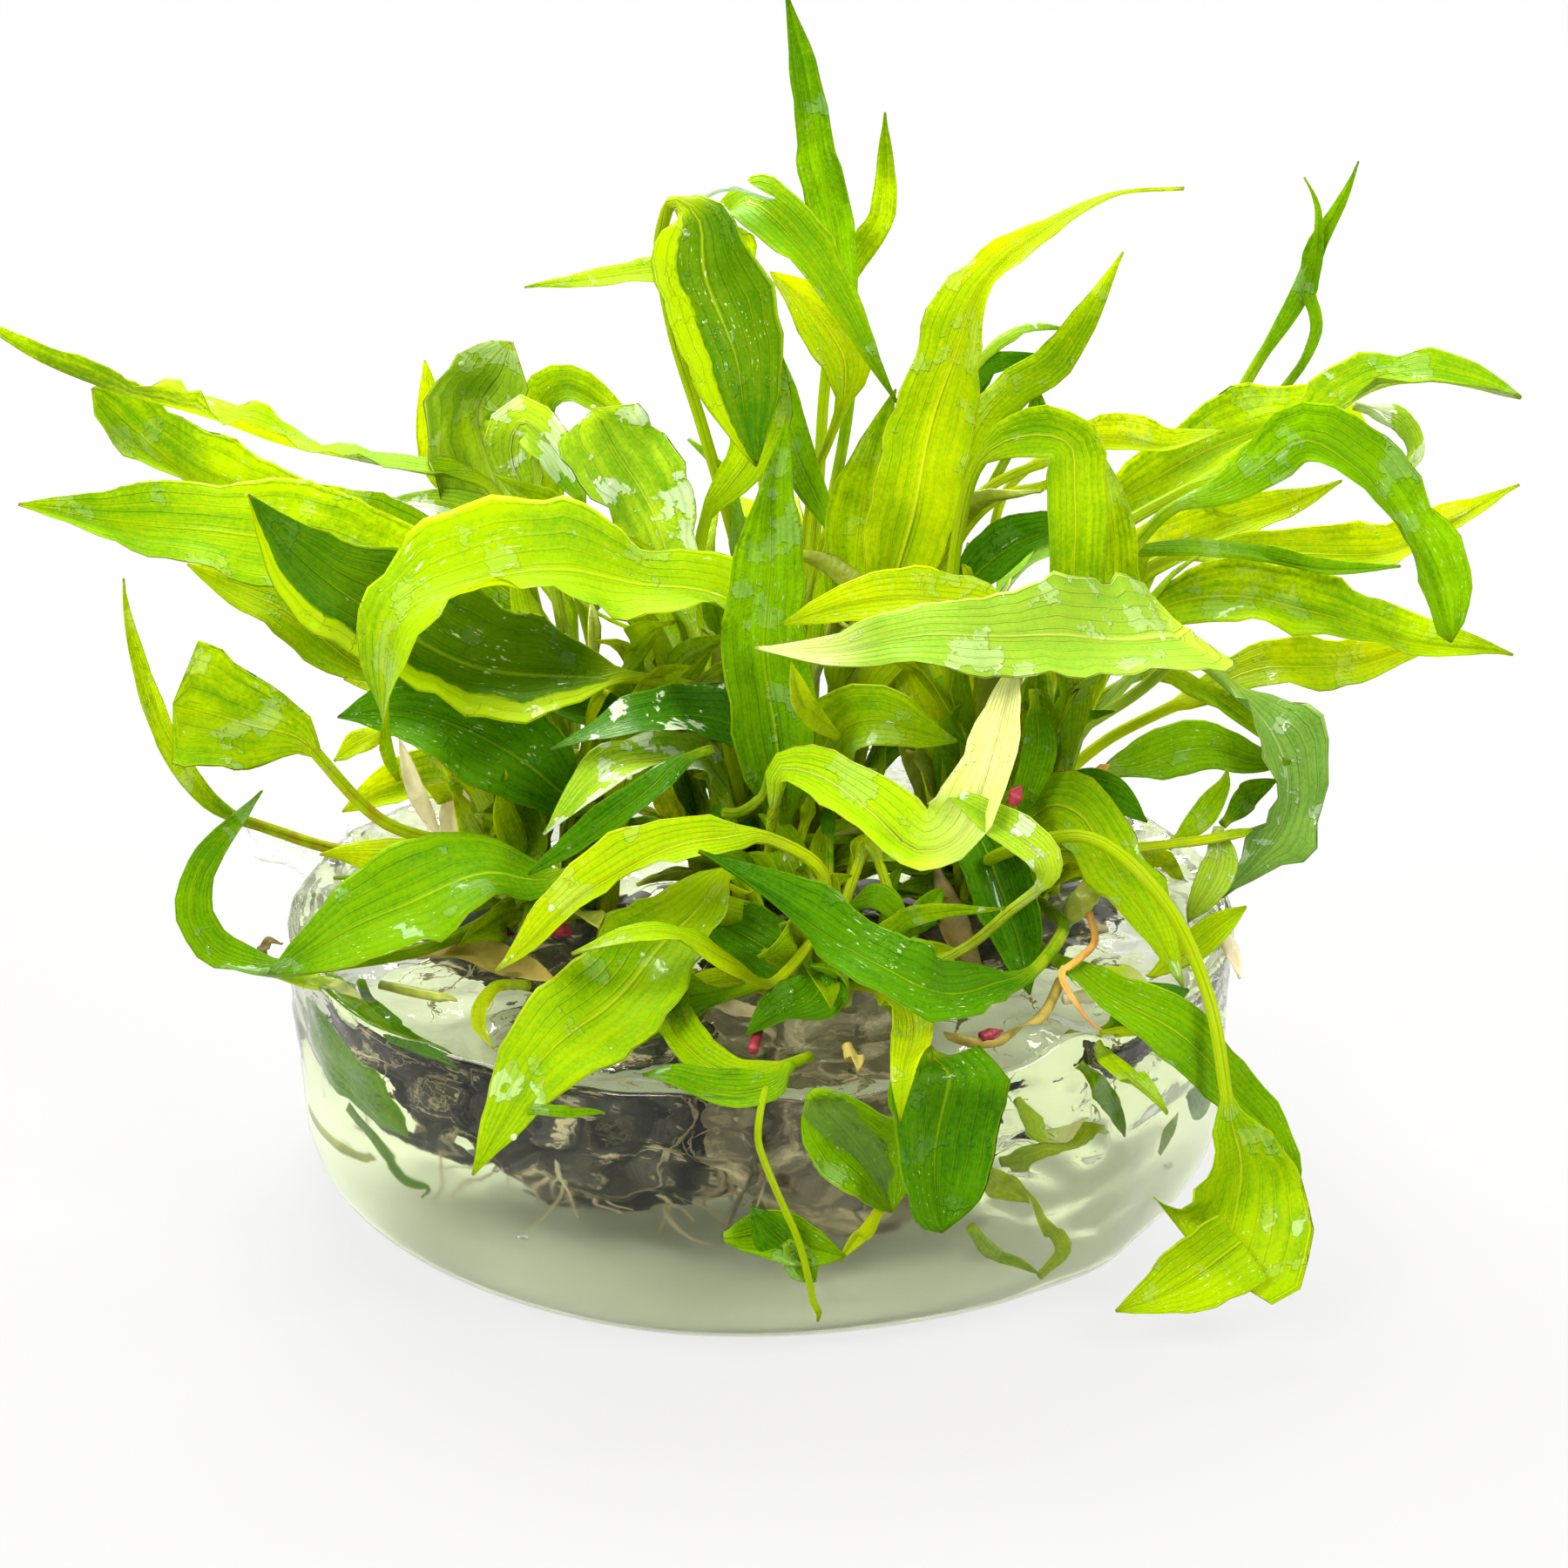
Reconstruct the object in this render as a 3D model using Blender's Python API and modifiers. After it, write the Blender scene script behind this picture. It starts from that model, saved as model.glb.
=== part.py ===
# Cryptocoryne plantlets standing in a clear nutrient gel that kept the shape of its cup.
# Metres, +Z up, origin on the ground under the middle of the gel. The sizes below are in millimetres.
#
# A leaf's midrib is described the way it is seen from the front, as hand-chosen points:
#   across   millimetres right of the gel's axis, on the upright plane through that axis
#   up       millimetres above the ground, on the same plane
#   toward   how far in front of that plane the point really lies (behind it when negative)
# seen() slides such a point along the line of sight, so that the clump keeps its outline from the front.

import math

import bpy
import numpy as np
from mathutils import Vector

MM = 0.001

# Gel puck
GEL_TOP_RADIUS = 47.5
GEL_FOOT_RADIUS = 46.8
GEL_HEIGHT = 26.3
GEL_EDGE_ROUND = 7.0
GEL_EDGE_STEPS = 4
GEL_SIDES = 40
GAP = 0.3

# Rootstocks: middle of the crown on the gel (x, y), radius at the gel's surface, depth of the root ball
ROOTSTOCKS = {
    "rootstock_left": ((-21.0, 0.0), 9.5, 13.0),
    "rootstock_middle": ((1.0, 5.0), 10.0, 15.0),
    "rootstock_right": ((23.5, 2.0), 9.5, 14.0),
    "rootstock_front": ((6.0, -20.0), 9.0, 12.0),
}
CROWN_RISE = 1.2
ROOTSTOCK_SIDES = 10

# Where the clump is seen from: how far in front of the gel's axis, how far to its right, how high
EYE_FRONT = 300.7
EYE_RIGHT = 2.3
EYE_UP = 148.4

# Leaf build
LEAF_THICKNESS = 1.0
PETIOLE_HALF_WIDTH = 0.8
TIP_HALF_WIDTH = 0.3
BLADE_RINGS = 8
PETIOLE_RING_SPACING = 9.0
CHANNEL = 0.2
CLEARANCE = 2.6
SETTLE_ROUNDS = 120
SAMPLE_STEP = 2.0
PAIR_ROUNDS = 8


def blade(half_width, start, face=(0, 45), end_face=None, base=0.8, tip=1.0):
    """A blade's half width, the share of the midrib where it starts, where its upper side faces at its start
    and at its tip (degrees turned to the right, degrees lifted), and how full its base and its tip are."""
    return {"half_width": half_width, "start": start, "face": face, "end_face": end_face or face,
            "base": base, "tip": tip}


LEAVES = {
    # Left side, from the top down
    "leaf_far_left_ribbon": ("rootstock_left", blade(3.2, 0.42, (-10, 75), (-10, 88)), [
        (-21, 48, -8), (-24, 67, -12), (-31, 71, -14), (-38, 72.5, -14), (-46, 75, -12), (-55, 77.7, -10),
        (-65, 81, -8), (-75, 86.3, -5)]),
    "leaf_left_high": ("rootstock_left", blade(4.6, 0.42, (0, 50)), [
        (-22, 48, -14), (-32, 57, -18), (-44, 65, -20), (-55, 71.5, -20), (-64, 79.3, -18)]),
    "leaf_left_long": ("rootstock_left", blade(5.6, 0.34, (0, 48)), [
        (-20, 46, -4), (-30, 57, -2), (-40, 62.5, 2), (-50, 65.2, 4), (-60, 66.2, 6), (-72, 67.8, 8)]),
    "leaf_left_dark": ("rootstock_middle", blade(6.4, 0.45, (-5, 50)), [
        (-3, 42, 8), (-6, 49, 10), (-15, 50.4, 12), (-24, 51.4, 14), (-32, 53.7, 15), (-40, 58.3, 16),
        (-46, 63.5, 16), (-49.6, 68.8, 16)]),
    "leaf_left_brown_tip": ("rootstock_left", blade(3.1, 0.45), [
        (-18, 50, -8), (-26, 60, -10), (-33, 64, -8), (-40, 67, -6), (-47, 70.4, -4)]),
    "leaf_big_arch": ("rootstock_middle", blade(6.3, 0.26, (0, 50), (-75, 25), 0.9, 0.75), [
        (3, 42, 8), (2, 54, 10), (-4, 59, 13), (-10, 60.3, 16), (-16, 61.5, 18), (-22, 62, 20),
        (-28, 61.7, 22), (-33, 59.8, 24), (-36.5, 55, 26), (-37.6, 50, 27), (-37.2, 44, 27), (-36.3, 39.3, 26)]),
    "leaf_left_low_dark": ("rootstock_left", blade(4.9, 0.3, (0, 40)), [
        (-15, 34, 6), (-20, 38.5, 10), (-25, 42, 12), (-30, 45.3, 13), (-35, 47, 12), (-42, 46, 10)]),
    "leaf_left_thin_curl": ("rootstock_left", blade(1.9, 0.45, (20, 20), (30, 10)), [
        (-34, 29, -6), (-42, 28.6, -8), (-48, 30.8, -8), (-53.5, 35, -6), (-57.5, 40, -4), (-60, 46, -3),
        (-61.6, 53, -2), (-62.3, 60.3, 0)]),
    "leaf_left_round": ("rootstock_left", blade(6.3, 0.68, (0, 25), None, 0.55, 0.12), [
        (-24, 31, 6), (-30, 31.8, 8), (-36, 33.5, 10), (-42.5, 38.7, 9), (-45.5, 43.6, 8), (-50, 45.6, 8),
        (-58.3, 47.5, 8)]),
    "leaf_left_hook": ("rootstock_left", blade(2.4, 0.45, (-30, 60), (20, 20)), [
        (-30, 21, 16), (-38, 18.8, 20), (-45, 18.2, 22), (-51, 19.5, 23), (-55.7, 21.7, 23), (-57.7, 26, 23),
        (-56, 31, 23), (-50, 38.2, 25)]),
    "leaf_left_low_gloss": ("rootstock_middle", blade(5.2, 0.46, (-10, 50)), [
        (-9, 35, 6), (-15, 31, 12), (-22, 28.8, 18), (-28, 29.3, 21), (-34, 27.2, 24), (-42, 23.2, 27),
        (-50.5, 18.3, 27)]),
    "leaf_left_top_broad": ("rootstock_left", blade(4.8, 0.5, (10, 20)), [
        (-22, 52, -16), (-24, 64, -18), (-26.5, 72, -18), (-27, 77.5, -16), (-23.6, 83.8, -12)]),
    "leaf_left_top_fold": ("rootstock_left", blade(2.6, 0.62, (10, 20)), [
        (-20, 52, -10), (-22.6, 67, -9), (-24.2, 73, -8), (-22.6, 76.4, -6), (-19.6, 73, -5), (-17, 67.6, -4)]),
    "leaf_left_wet": ("rootstock_middle", blade(4.4, 0.5, (0, 25)), [
        (-5, 48, -3), (-8, 59, -4), (-10.5, 66, -3), (-13, 71.5, -2), (-16, 77.3, -1)]),
    "leaf_left_wrinkled": ("rootstock_left", blade(2.4, 0.5, (0, 30)), [
        (-17, 52, -20), (-20.5, 68, -22), (-21.5, 77, -22), (-18, 79.5, -20), (-12.3, 75.7, -18)]),
    "leaf_dark_gloss": ("rootstock_middle", blade(3.3, 0.35, (0, 55)), [
        (1.6, 36, 10), (0.8, 42.5, 13), (-3, 46, 16), (-8, 46.4, 18), (-14, 45.4, 20), (-21, 42.6, 21)]),
    "leaf_wet_low": ("rootstock_middle", blade(2.9, 0.35, (0, 60)), [
        (-3, 36, 8), (-5.5, 42, 12), (-10, 42, 16), (-15, 40.3, 19), (-21.9, 33.5, 22)]),
    # Front
    "leaf_front_arch": ("rootstock_front", blade(2.8, 0.4, (0, 60)), [
        (6.6, 24, 26), (6.3, 29, 28), (3, 32.6, 29), (-3, 33.2, 31), (-10, 32, 33), (-18, 27.5, 35),
        (-27.2, 18.6, 37)]),
    "leaf_front_hanging": ("rootstock_front", blade(5.2, 0.22, (0, 45)), [
        (-2, 29.5, 22), (-6.5, 26, 26), (-12, 19.5, 33), (-18, 12, 40), (-24, 4.6, 46), (-30.3, -4.8, 50)]),
    "leaf_over_rim": ("rootstock_front", blade(5.2, 0.48, (22, 8), None, 0.5, 0.75), [
        (13, 13.2, 34), (16.6, 8.6, 43.6), (18.3, 6.2, 48), (18.8, 1, 48.6), (18.7, -4, 48.6), (18.9, -11.4, 48.4)]),
    "leaf_front_broad": ("rootstock_right", blade(3.7, 0.38, (0, 60)), [
        (30.5, 23, 20), (29, 19.6, 24), (24, 17, 30), (18, 16.9, 35), (12, 20, 38), (5, 24.6, 39),
        (-6.3, 31.8, 38)]),
    "leaf_front_left_low": ("rootstock_front", blade(2.9, 0.25, (0, 60)), [
        (-4, 15.5, 30), (-10, 13, 34), (-16, 9.6, 38), (-24.2, 3.6, 44)]),
    "leaf_front_middle_dark": ("rootstock_front", blade(2.9, 0.2, (0, 50)), [
        (6, 17.5, 30), (5, 15.2, 33.5), (2.6, 12.2, 35.5), (-1.6, 8.4, 38)]),
    "leaf_front_small": ("rootstock_front", blade(2.0, 0.25, (0, 40)), [
        (13, 16.3, 34), (15, 14, 42), (14.6, 8, 48), (14.4, 1.6, 51)]),
    # Middle
    "leaf_bright_fold": ("rootstock_middle", blade(3.2, 0.3, (0, 55), (-20, 20)), [
        (1.5, 34, 12), (1.6, 40, 16), (4.5, 41.3, 19), (9, 38.4, 22), (13.5, 34, 25), (17.3, 31.4, 27),
        (20.6, 34.8, 28), (22.8, 41, 28), (25.1, 51.8, 27)]),
    "leaf_middle_green": ("rootstock_middle", blade(3.5, 0.42, (0, 40)), [
        (6.6, 34, 9), (5.8, 40, 11), (7.2, 44.2, 13), (11, 45.9, 15), (19.6, 43.5, 17)]),
    "leaf_middle_upright": ("rootstock_middle", blade(3.2, 0.2, (0, 20)), [
        (2, 37, 10), (1, 45, 15), (0.7, 55, 18), (1, 62, 20), (1.2, 70, 21), (2.5, 76.6, 21)]),
    "leaf_pale_front": ("rootstock_right", blade(6.1, 0.42, (0, 45), None, 0.5, 0.85), [
        (24, 36, 4), (32, 44, 1), (39.5, 50, 3), (42.2, 54.2, 9), (39.5, 55, 16), (33, 55, 21), (24, 54.6, 25),
        (15, 53.8, 28), (7, 53, 29), (-0.6, 53.2, 29)]),
    "leaf_pale_second": ("rootstock_right", blade(2.9, 0.55, (0, 45)), [
        (21, 40, 9), (25, 51, 11), (23.6, 57, 14), (17, 58.6, 18), (10, 58, 21), (2, 55.6, 23)]),
    "leaf_tall_broad": ("rootstock_middle", blade(4.1, 0.3, (5, 15), (-10, 80), 0.7, 1.3), [
        (10, 42, -3), (12.2, 55, -1), (14.6, 67, 1), (17, 77, 1), (19.4, 86, 1), (22, 90.6, 0), (26, 93.8, -1),
        (32, 97.7, -2), (39.8, 98.4, -4)]),
    "leaf_middle_dark": ("rootstock_middle", blade(3.3, 0.35, (0, 20)), [
        (7, 46, -6), (8.5, 57, -7), (9.8, 66, -7), (11, 73, -7), (13, 79.2, -7)]),
    "leaf_arch_right": ("rootstock_middle", blade(2.9, 0.5, (10, 40)), [
        (2, 55, -22), (0, 74, -24), (-3, 90, -20), (-2.6, 96.8, -14), (1.6, 96, -9), (5, 91.4, -6),
        (9, 85, -4), (13.2, 77.8, -3)]),
    "leaf_arch_left": ("rootstock_middle", blade(5.4, 0.62, (-5, 30), None, 0.5, 0.9), [
        (0, 52, -14), (-4, 70, -16), (-9, 88, -12), (-8.6, 96.6, -5), (-5.6, 95.6, 0), (-5, 89, 4),
        (-2.6, 82, 7), (-0.4, 71.6, 9)]),
    "leaf_behind_arch": ("rootstock_middle", blade(2.9, 0.5, (0, 25)), [
        (-5, 50, -8), (-6.6, 60, -9), (-5, 67, -9), (-1.6, 72, -9), (0, 78, -9), (-3, 88, -8), (-7.9, 96.4, -8)]),
    "leaf_tallest": ("rootstock_middle", blade(2.3, 0.6, (0, 15)), [
        (6, 62, -28), (9, 82, -31), (7.3, 91, -31), (6, 99, -30), (4.6, 107, -29), (2.4, 116.6, -28)]),
    "leaf_tall_curved": ("rootstock_middle", blade(1.5, 0.72, (10, 15)), [
        (5, 60, -32), (6.6, 84, -36), (9.2, 91.8, -36), (11.6, 96, -35), (11.7, 105.4, -33)]),
    "leaf_back_left_far": ("rootstock_middle", blade(1.7, 0.66, (0, 50)), [
        (1, 60, -26), (-1, 80, -29), (-6, 89.4, -29), (-13, 90.2, -29), (-22.3, 89, -29)]),
    # Right side, from the top down
    "leaf_right_up": ("rootstock_right", blade(2.1, 0.5, (10, 30)), [
        (18, 56, -8), (19.6, 70, -9), (23, 78.4, -10), (28, 82.3, -11), (31.4, 87.4, -12), (34.3, 92.4, -12)]),
    "leaf_right_fold": ("rootstock_right", blade(3.0, 0.5, (10, 30), None, 0.6, 0.8), [
        (18.6, 52, 3), (19, 63, 3), (20.6, 71, 5), (24, 74, 7), (28.4, 75, 9), (31, 72, 11), (30.6, 62, 13),
        (31, 50, 13), (30.6, 39, 12)]),
    "leaf_right_point": ("rootstock_right", blade(2.5, 0.4, (15, 20)), [
        (31, 46, 7), (33.8, 56, 8), (34.5, 64, 8), (32.2, 74.3, 8)]),
    "leaf_right_tall": ("rootstock_right", blade(1.1, 0.72, (0, 20)), [
        (33, 48, -24), (39, 63, -29), (45, 77, -32), (51.2, 88.3, -34), (53, 94, -34), (56, 100.9, -34)]),
    "leaf_right_back_broad": ("rootstock_right", blade(3.8, 0.5, (0, 45)), [
        (26, 52, -20), (33, 66, -23), (40, 72, -23), (47, 75.4, -23), (54, 77, -23), (60.5, 71.5, -23)]),
    "leaf_right_far_ribbon": ("rootstock_right", blade(2.1, 0.55, (0, 60)), [
        (28, 52, -4), (35, 66, -4), (43, 69.7, -4), (50, 73.7, -3), (56, 78.6, -2), (64, 80.8, 0),
        (73, 78.4, 0)]),
    "leaf_right_arch": ("rootstock_right", blade(2.3, 0.5, (10, 50), (40, 30)), [
        (29, 48, 3), (37, 64.6, 2), (44, 69, 2), (50, 73, 2), (54, 74.6, 3), (59, 70.6, 5), (65, 63, 6),
        (68, 53.8, 6)]),
    "leaf_right_back_lime": ("rootstock_right", blade(2.9, 0.42, (0, 40)), [
        (30, 54, -15), (37, 62.4, -15), (45, 65.6, -15), (56.3, 70.2, -15)]),
    "leaf_right_middle_lime": ("rootstock_right", blade(2.8, 0.5, (0, 50)), [
        (30, 52, -8), (37, 61.4, -10), (45, 62.7, -10), (53, 63.2, -9), (62, 63.9, -8), (73.5, 69.8, -8)]),
    "leaf_right_low_point": ("rootstock_right", blade(3.5, 0.4, (0, 50)), [
        (29, 46, -3), (35, 54.6, -3), (41, 57.8, -3), (49, 58.5, -2), (60, 55.6, 0), (74.2, 52.5, 0)]),
    "leaf_right_low_lime": ("rootstock_right", blade(2.9, 0.42, (0, 50)), [
        (28, 37, -8), (34.7, 43.8, -10), (42, 47.6, -10), (50, 50.9, -9), (59, 52.3, -9), (68.6, 54.6, -8)]),
    "leaf_right_ruffled": ("rootstock_right", blade(3.7, 0.34, (20, 45), (40, 15), 0.5, 0.8), [
        (28, 40, -2), (34, 48.4, -5), (40.5, 52.6, -6), (46, 49.6, -3), (51.4, 44.4, 2), (53.6, 38.6, 5),
        (51.8, 33, 6), (46.7, 26.7, 6)]),
    "leaf_right_dark_hanging": ("rootstock_right", blade(3.6, 0.3, (15, 40)), [
        (27, 35, 14), (31, 37, 18), (35, 32.4, 21), (38, 26.3, 24), (43.2, 16.8, 28)]),
    "leaf_long_stem": ("rootstock_right", blade(4.7, 0.7, (10, 35), (0, 60), 0.45, 0.6), [
        (24, 31, 18), (31, 33.8, 22), (39, 28.8, 27), (45.2, 17.6, 32), (47.6, 7, 35), (49, 1, 37),
        (50.2, -5, 39), (49.2, -12.6, 41), (45, -16.6, 42), (38.5, -19.4, 43)]),
    "leaf_right_front_arch": ("rootstock_right", blade(2.7, 0.34, (10, 50), (30, 20)), [
        (30, 19, 24), (34, 13, 31), (41, 9.8, 34), (48, 6.4, 35), (54, -1, 35), (55.8, -10, 35)]),
    # Back, hidden from the front
    "leaf_back_left": ("rootstock_left", blade(4.2, 0.4, (180, 45)), [
        (-18, 52, -22), (-22, 62, -29), (-27, 66, -38), (-34, 65, -50)]),
    "leaf_back_middle": ("rootstock_middle", blade(4.4, 0.4, (180, 45)), [
        (1, 52, -32), (0, 64, -40), (0, 68, -48), (2, 66, -60)]),
    "leaf_back_right": ("rootstock_right", blade(4.2, 0.4, (180, 45)), [
        (20, 52, -24), (25, 61, -34), (29, 64, -44), (35, 61, -55)]),
}


def seen(point):
    """The place of a point given as (across, up, toward), slid along the line of sight."""
    across, up, toward = point
    nearness = (EYE_FRONT - toward) / EYE_FRONT
    return np.array([EYE_RIGHT + (across - EYE_RIGHT) * nearness, -toward, EYE_UP + (up - EYE_UP) * nearness])


def smooth_path(knots):
    """A smooth curve through the knots, and how far along it each of its points lies."""
    knots = np.array(knots)
    padded = np.vstack([2 * knots[0] - knots[1], knots, 2 * knots[-1] - knots[-2]])
    curve = []
    for k in range(len(knots) - 1):
        a, b, c, d = padded[k:k + 4]
        for t in np.linspace(0, 1, 16, endpoint=False):
            curve.append(0.5 * (2 * b + (c - a) * t + (2 * a - 5 * b + 4 * c - d) * t ** 2
                                + (3 * b - a - 3 * c + d) * t ** 3))
    curve = np.array(curve + [knots[-1]])
    length = np.concatenate([[0], np.cumsum(np.linalg.norm(np.diff(curve, axis=0), axis=1))])
    return curve, length


def facing(turn, lift):
    """The direction that a blade's upper side faces, from degrees turned to the right and lifted."""
    turn, lift = math.radians(turn), math.radians(lift)
    return np.array([math.sin(turn) * math.cos(lift), -math.cos(turn) * math.cos(lift), math.sin(lift)])


class Leaf:
    """One leaf with its petiole, as rings along the midrib, each with a middle, a half width and a facing."""

    def __init__(self, name, rootstock, form, points):
        self.name = name
        self.form = form
        centre, radius, _depth = ROOTSTOCKS[rootstock]
        first = seen(points[0])
        outward = first[:2] - np.array(centre)
        outward = outward / max(np.linalg.norm(outward), 1e-6)
        foot_height = GEL_HEIGHT + CROWN_RISE + 1.2
        foot = np.array([*(np.array(centre) + outward * radius * 0.55), foot_height])
        curve, length = smooth_path([foot] + [seen(p) for p in points])
        blade_start = form["start"] * length[-1]
        petiole_rings = max(3, round(blade_start / PETIOLE_RING_SPACING))
        at = np.concatenate([np.linspace(0, blade_start, petiole_rings, endpoint=False),
                             np.linspace(blade_start, length[-1], BLADE_RINGS + 1)])
        self.middle = np.stack([np.interp(at, length, curve[:, k]) for k in range(3)], 1)
        share = np.clip((at - blade_start) / (length[-1] - blade_start), 0, 1)
        base, tip = form["base"], form["tip"]
        widest = base / (base + tip)
        fullness = share ** base * (1 - share) ** tip / (widest ** base * (1 - widest) ** tip)
        stalk = np.where(share > 0.5, TIP_HALF_WIDTH, PETIOLE_HALF_WIDTH)
        self.half = np.maximum(form["half_width"] * fullness, stalk)
        self.share = share

    def frames(self):
        """Across and upward directions at each ring."""
        along = np.gradient(self.middle, axis=0)
        along /= np.linalg.norm(along, axis=1)[:, None]
        start, end = facing(*self.form["face"]), facing(*self.form["end_face"])
        wanted = start + (end - start) * self.share[:, None]
        upward = wanted - (wanted * along).sum(1)[:, None] * along
        upward /= np.linalg.norm(upward, axis=1)[:, None]
        return np.cross(along, upward), upward

    def spread(self):
        """Where sample points lie on the leaf: ring, share of the way to the next ring, place across."""
        steps = np.linalg.norm(np.diff(self.middle, axis=0), axis=1)
        rows = []
        for ring, step in enumerate(steps):
            parts = max(1, round(step / SAMPLE_STEP))
            for t in np.arange(parts) / parts:
                half = self.half[ring] * (1 - t) + self.half[ring + 1] * t
                points = max(1, round(2 * half / SAMPLE_STEP)) if half > 1 else 0
                rows += [(ring, t, s, half) for s in (np.linspace(-half, half, points + 1) if points else [0.0])]
        rows.append((len(steps) - 1, 1.0, 0.0, self.half[-1]))
        return np.array(rows)


def close_pairs(place, owner, reach):
    """Every two sample points of different leaves that are nearer than reach."""
    square = (place ** 2).sum(1)
    apart = square[:, None] + square[None, :] - 2 * place @ place.T
    a, b = np.where(np.triu(apart < reach ** 2, 1))
    keep = owner[a] != owner[b]
    return a[keep], b[keep]


def settle(leaves):
    """Moves leaves that would touch apart, blades along the line of sight and petioles sideways, bit by bit,
    so that the clump keeps its outline from the front."""
    eye = np.array([EYE_RIGHT, -EYE_FRONT, EYE_UP])
    spreads = [leaf.spread() for leaf in leaves]
    owner = np.concatenate([np.full(len(rows), k) for k, rows in enumerate(spreads)])
    ring = np.concatenate([rows[:, 0] + rows[:, 1] for rows in spreads])
    stalk = np.concatenate([rows[:, 3] for rows in spreads]) < 1
    for number in range(SETTLE_ROUNDS):
        parts = []
        for leaf, rows in zip(leaves, spreads):
            across, _upward = leaf.frames()
            k = rows[:, 0].astype(int)
            t = rows[:, 1:2]
            side = across[k] * (1 - t) + across[k + 1] * t
            parts.append(leaf.middle[k] * (1 - t) + leaf.middle[k + 1] * t + side * rows[:, 2:3])
        place = np.vstack(parts)
        if number % PAIR_ROUNDS == 0:
            near_a, near_b = close_pairs(place, owner, CLEARANCE + 3)
        sight = place - eye
        sight /= np.linalg.norm(sight, axis=1)[:, None]
        gap = place[near_a] - place[near_b]
        apart = np.linalg.norm(gap, axis=1)
        keep = apart < CLEARANCE
        a, b, gap, apart = near_a[keep], near_b[keep], gap[keep], apart[keep]
        stalks = stalk[a] & stalk[b]
        depth = (gap * sight[a]).sum(1)
        aside = np.sqrt(np.maximum(apart ** 2 - depth ** 2, 0))
        needed = np.sqrt(np.maximum(CLEARANCE ** 2 - aside ** 2, 0))
        # One side wins for a whole crossing, so that a blade passes in front of another or behind it
        order = np.lexsort((ring[a], owner[b], owner[a]))
        pair = owner[a[order]] * 1000 + owner[b[order]]
        fresh = (np.diff(pair) != 0) | (np.diff(ring[a[order]]) > 1.5)
        group = np.zeros(len(a), int)
        group[order] = np.concatenate([[0], np.cumsum(fresh)])
        total = np.bincount(group, depth)
        sign = np.where(total[group] >= 0, 1.0, -1.0)
        lack = np.where(stalks, CLEARANCE - apart, needed - depth * sign)
        flat = gap * (1, 1, 0)
        flat[np.linalg.norm(flat, axis=1) < 1e-3] = (1, 0, 0)
        flat /= np.linalg.norm(flat, axis=1)[:, None]
        way = np.where(stalks[:, None], flat, sight[a] * sign[:, None])
        move = way * np.clip(lack, 0, 3)[:, None] * 0.4
        push = np.zeros_like(place)
        count = np.ones(len(place))
        np.add.at(push, a, move)
        np.add.at(push, b, -move)
        np.add.at(count, a, 1)
        np.add.at(count, b, 1)
        push = push / np.maximum(count - 1, 1)[:, None] + clear_of_gel(place)
        size = np.linalg.norm(push, axis=1)
        for k, leaf in enumerate(leaves):
            mine = owner == k
            own, own_size, own_ring = push[mine], size[mine], ring[mine]
            moved = np.zeros_like(leaf.middle)
            for r in range(len(leaf.middle)):
                near = np.abs(own_ring - r) < 1
                moved[r] = own[near][np.argmax(own_size[near])]
            for _ in range(2):
                padded = np.vstack([moved[:1], moved, moved[-1:]])
                moved = 0.5 * padded[1:-1] + 0.25 * (padded[:-2] + padded[2:])
            moved[0, 2] = 0
            leaf.middle = leaf.middle + moved
    print(f"settled: {len(a)} sample points still nearer than {CLEARANCE} mm")


def clear_of_gel(place):
    """Lifts points off the gel's top, or moves them out past its wall, where they would touch it."""
    margin = 1.2
    out = np.linalg.norm(place[:, :2], axis=1)
    under = GEL_HEIGHT + CROWN_RISE + margin - place[:, 2]
    within = GEL_TOP_RADIUS + margin - out
    into = np.minimum(under, within)
    inside = into > 0
    up = inside & (under <= within)
    push = np.zeros_like(place)
    push[up, 2] = into[up] * 0.6
    side = inside & ~up
    push[side, :2] = place[side, :2] / out[side, None] * into[side, None] * 0.6
    low = place[:, 2] < margin
    push[low, 2] += (margin - place[low, 2]) * 0.6
    return push


def material(name, colour, roughness, transmission=0.0):
    """A Principled material in one colour."""
    made = bpy.data.materials.new(name)
    made.use_nodes = True
    shader = made.node_tree.nodes["Principled BSDF"]
    shader.inputs["Base Color"].default_value = (*colour, 1)
    shader.inputs["Roughness"].default_value = roughness
    shader.inputs["Transmission Weight"].default_value = transmission
    return made


def add_object(name, mesh, collection, look=None):
    """A named object in a collection, with its material."""
    made = bpy.data.objects.new(name, mesh)
    collection.objects.link(made)
    if look:
        mesh.materials.append(look)
    return made


def leaf_object(leaf, collection, look):
    """A leaf as an open strip of three rows along its midrib, thickened."""
    across, upward = leaf.frames()
    rows = []
    for ring in range(len(leaf.middle)):
        half = leaf.half[ring]
        channel = upward[ring] * max(CHANNEL * half, 0.25)
        for side in (-1, 0, 1):
            point = leaf.middle[ring] + across[ring] * half * side - channel * (side == 0)
            rows.append(Vector(point * MM))
    faces = []
    for ring in range(len(leaf.middle) - 1):
        for side in (0, 1):
            corner = ring * 3 + side
            faces.append((corner, corner + 1, corner + 4, corner + 3))
    mesh = bpy.data.meshes.new(leaf.name)
    mesh.from_pydata(rows, [], faces)
    made = add_object(leaf.name, mesh, collection, look)
    thick = made.modifiers.new("thickness", "SOLIDIFY")
    thick.thickness = LEAF_THICKNESS * MM
    thick.offset = 0
    return made


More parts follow.
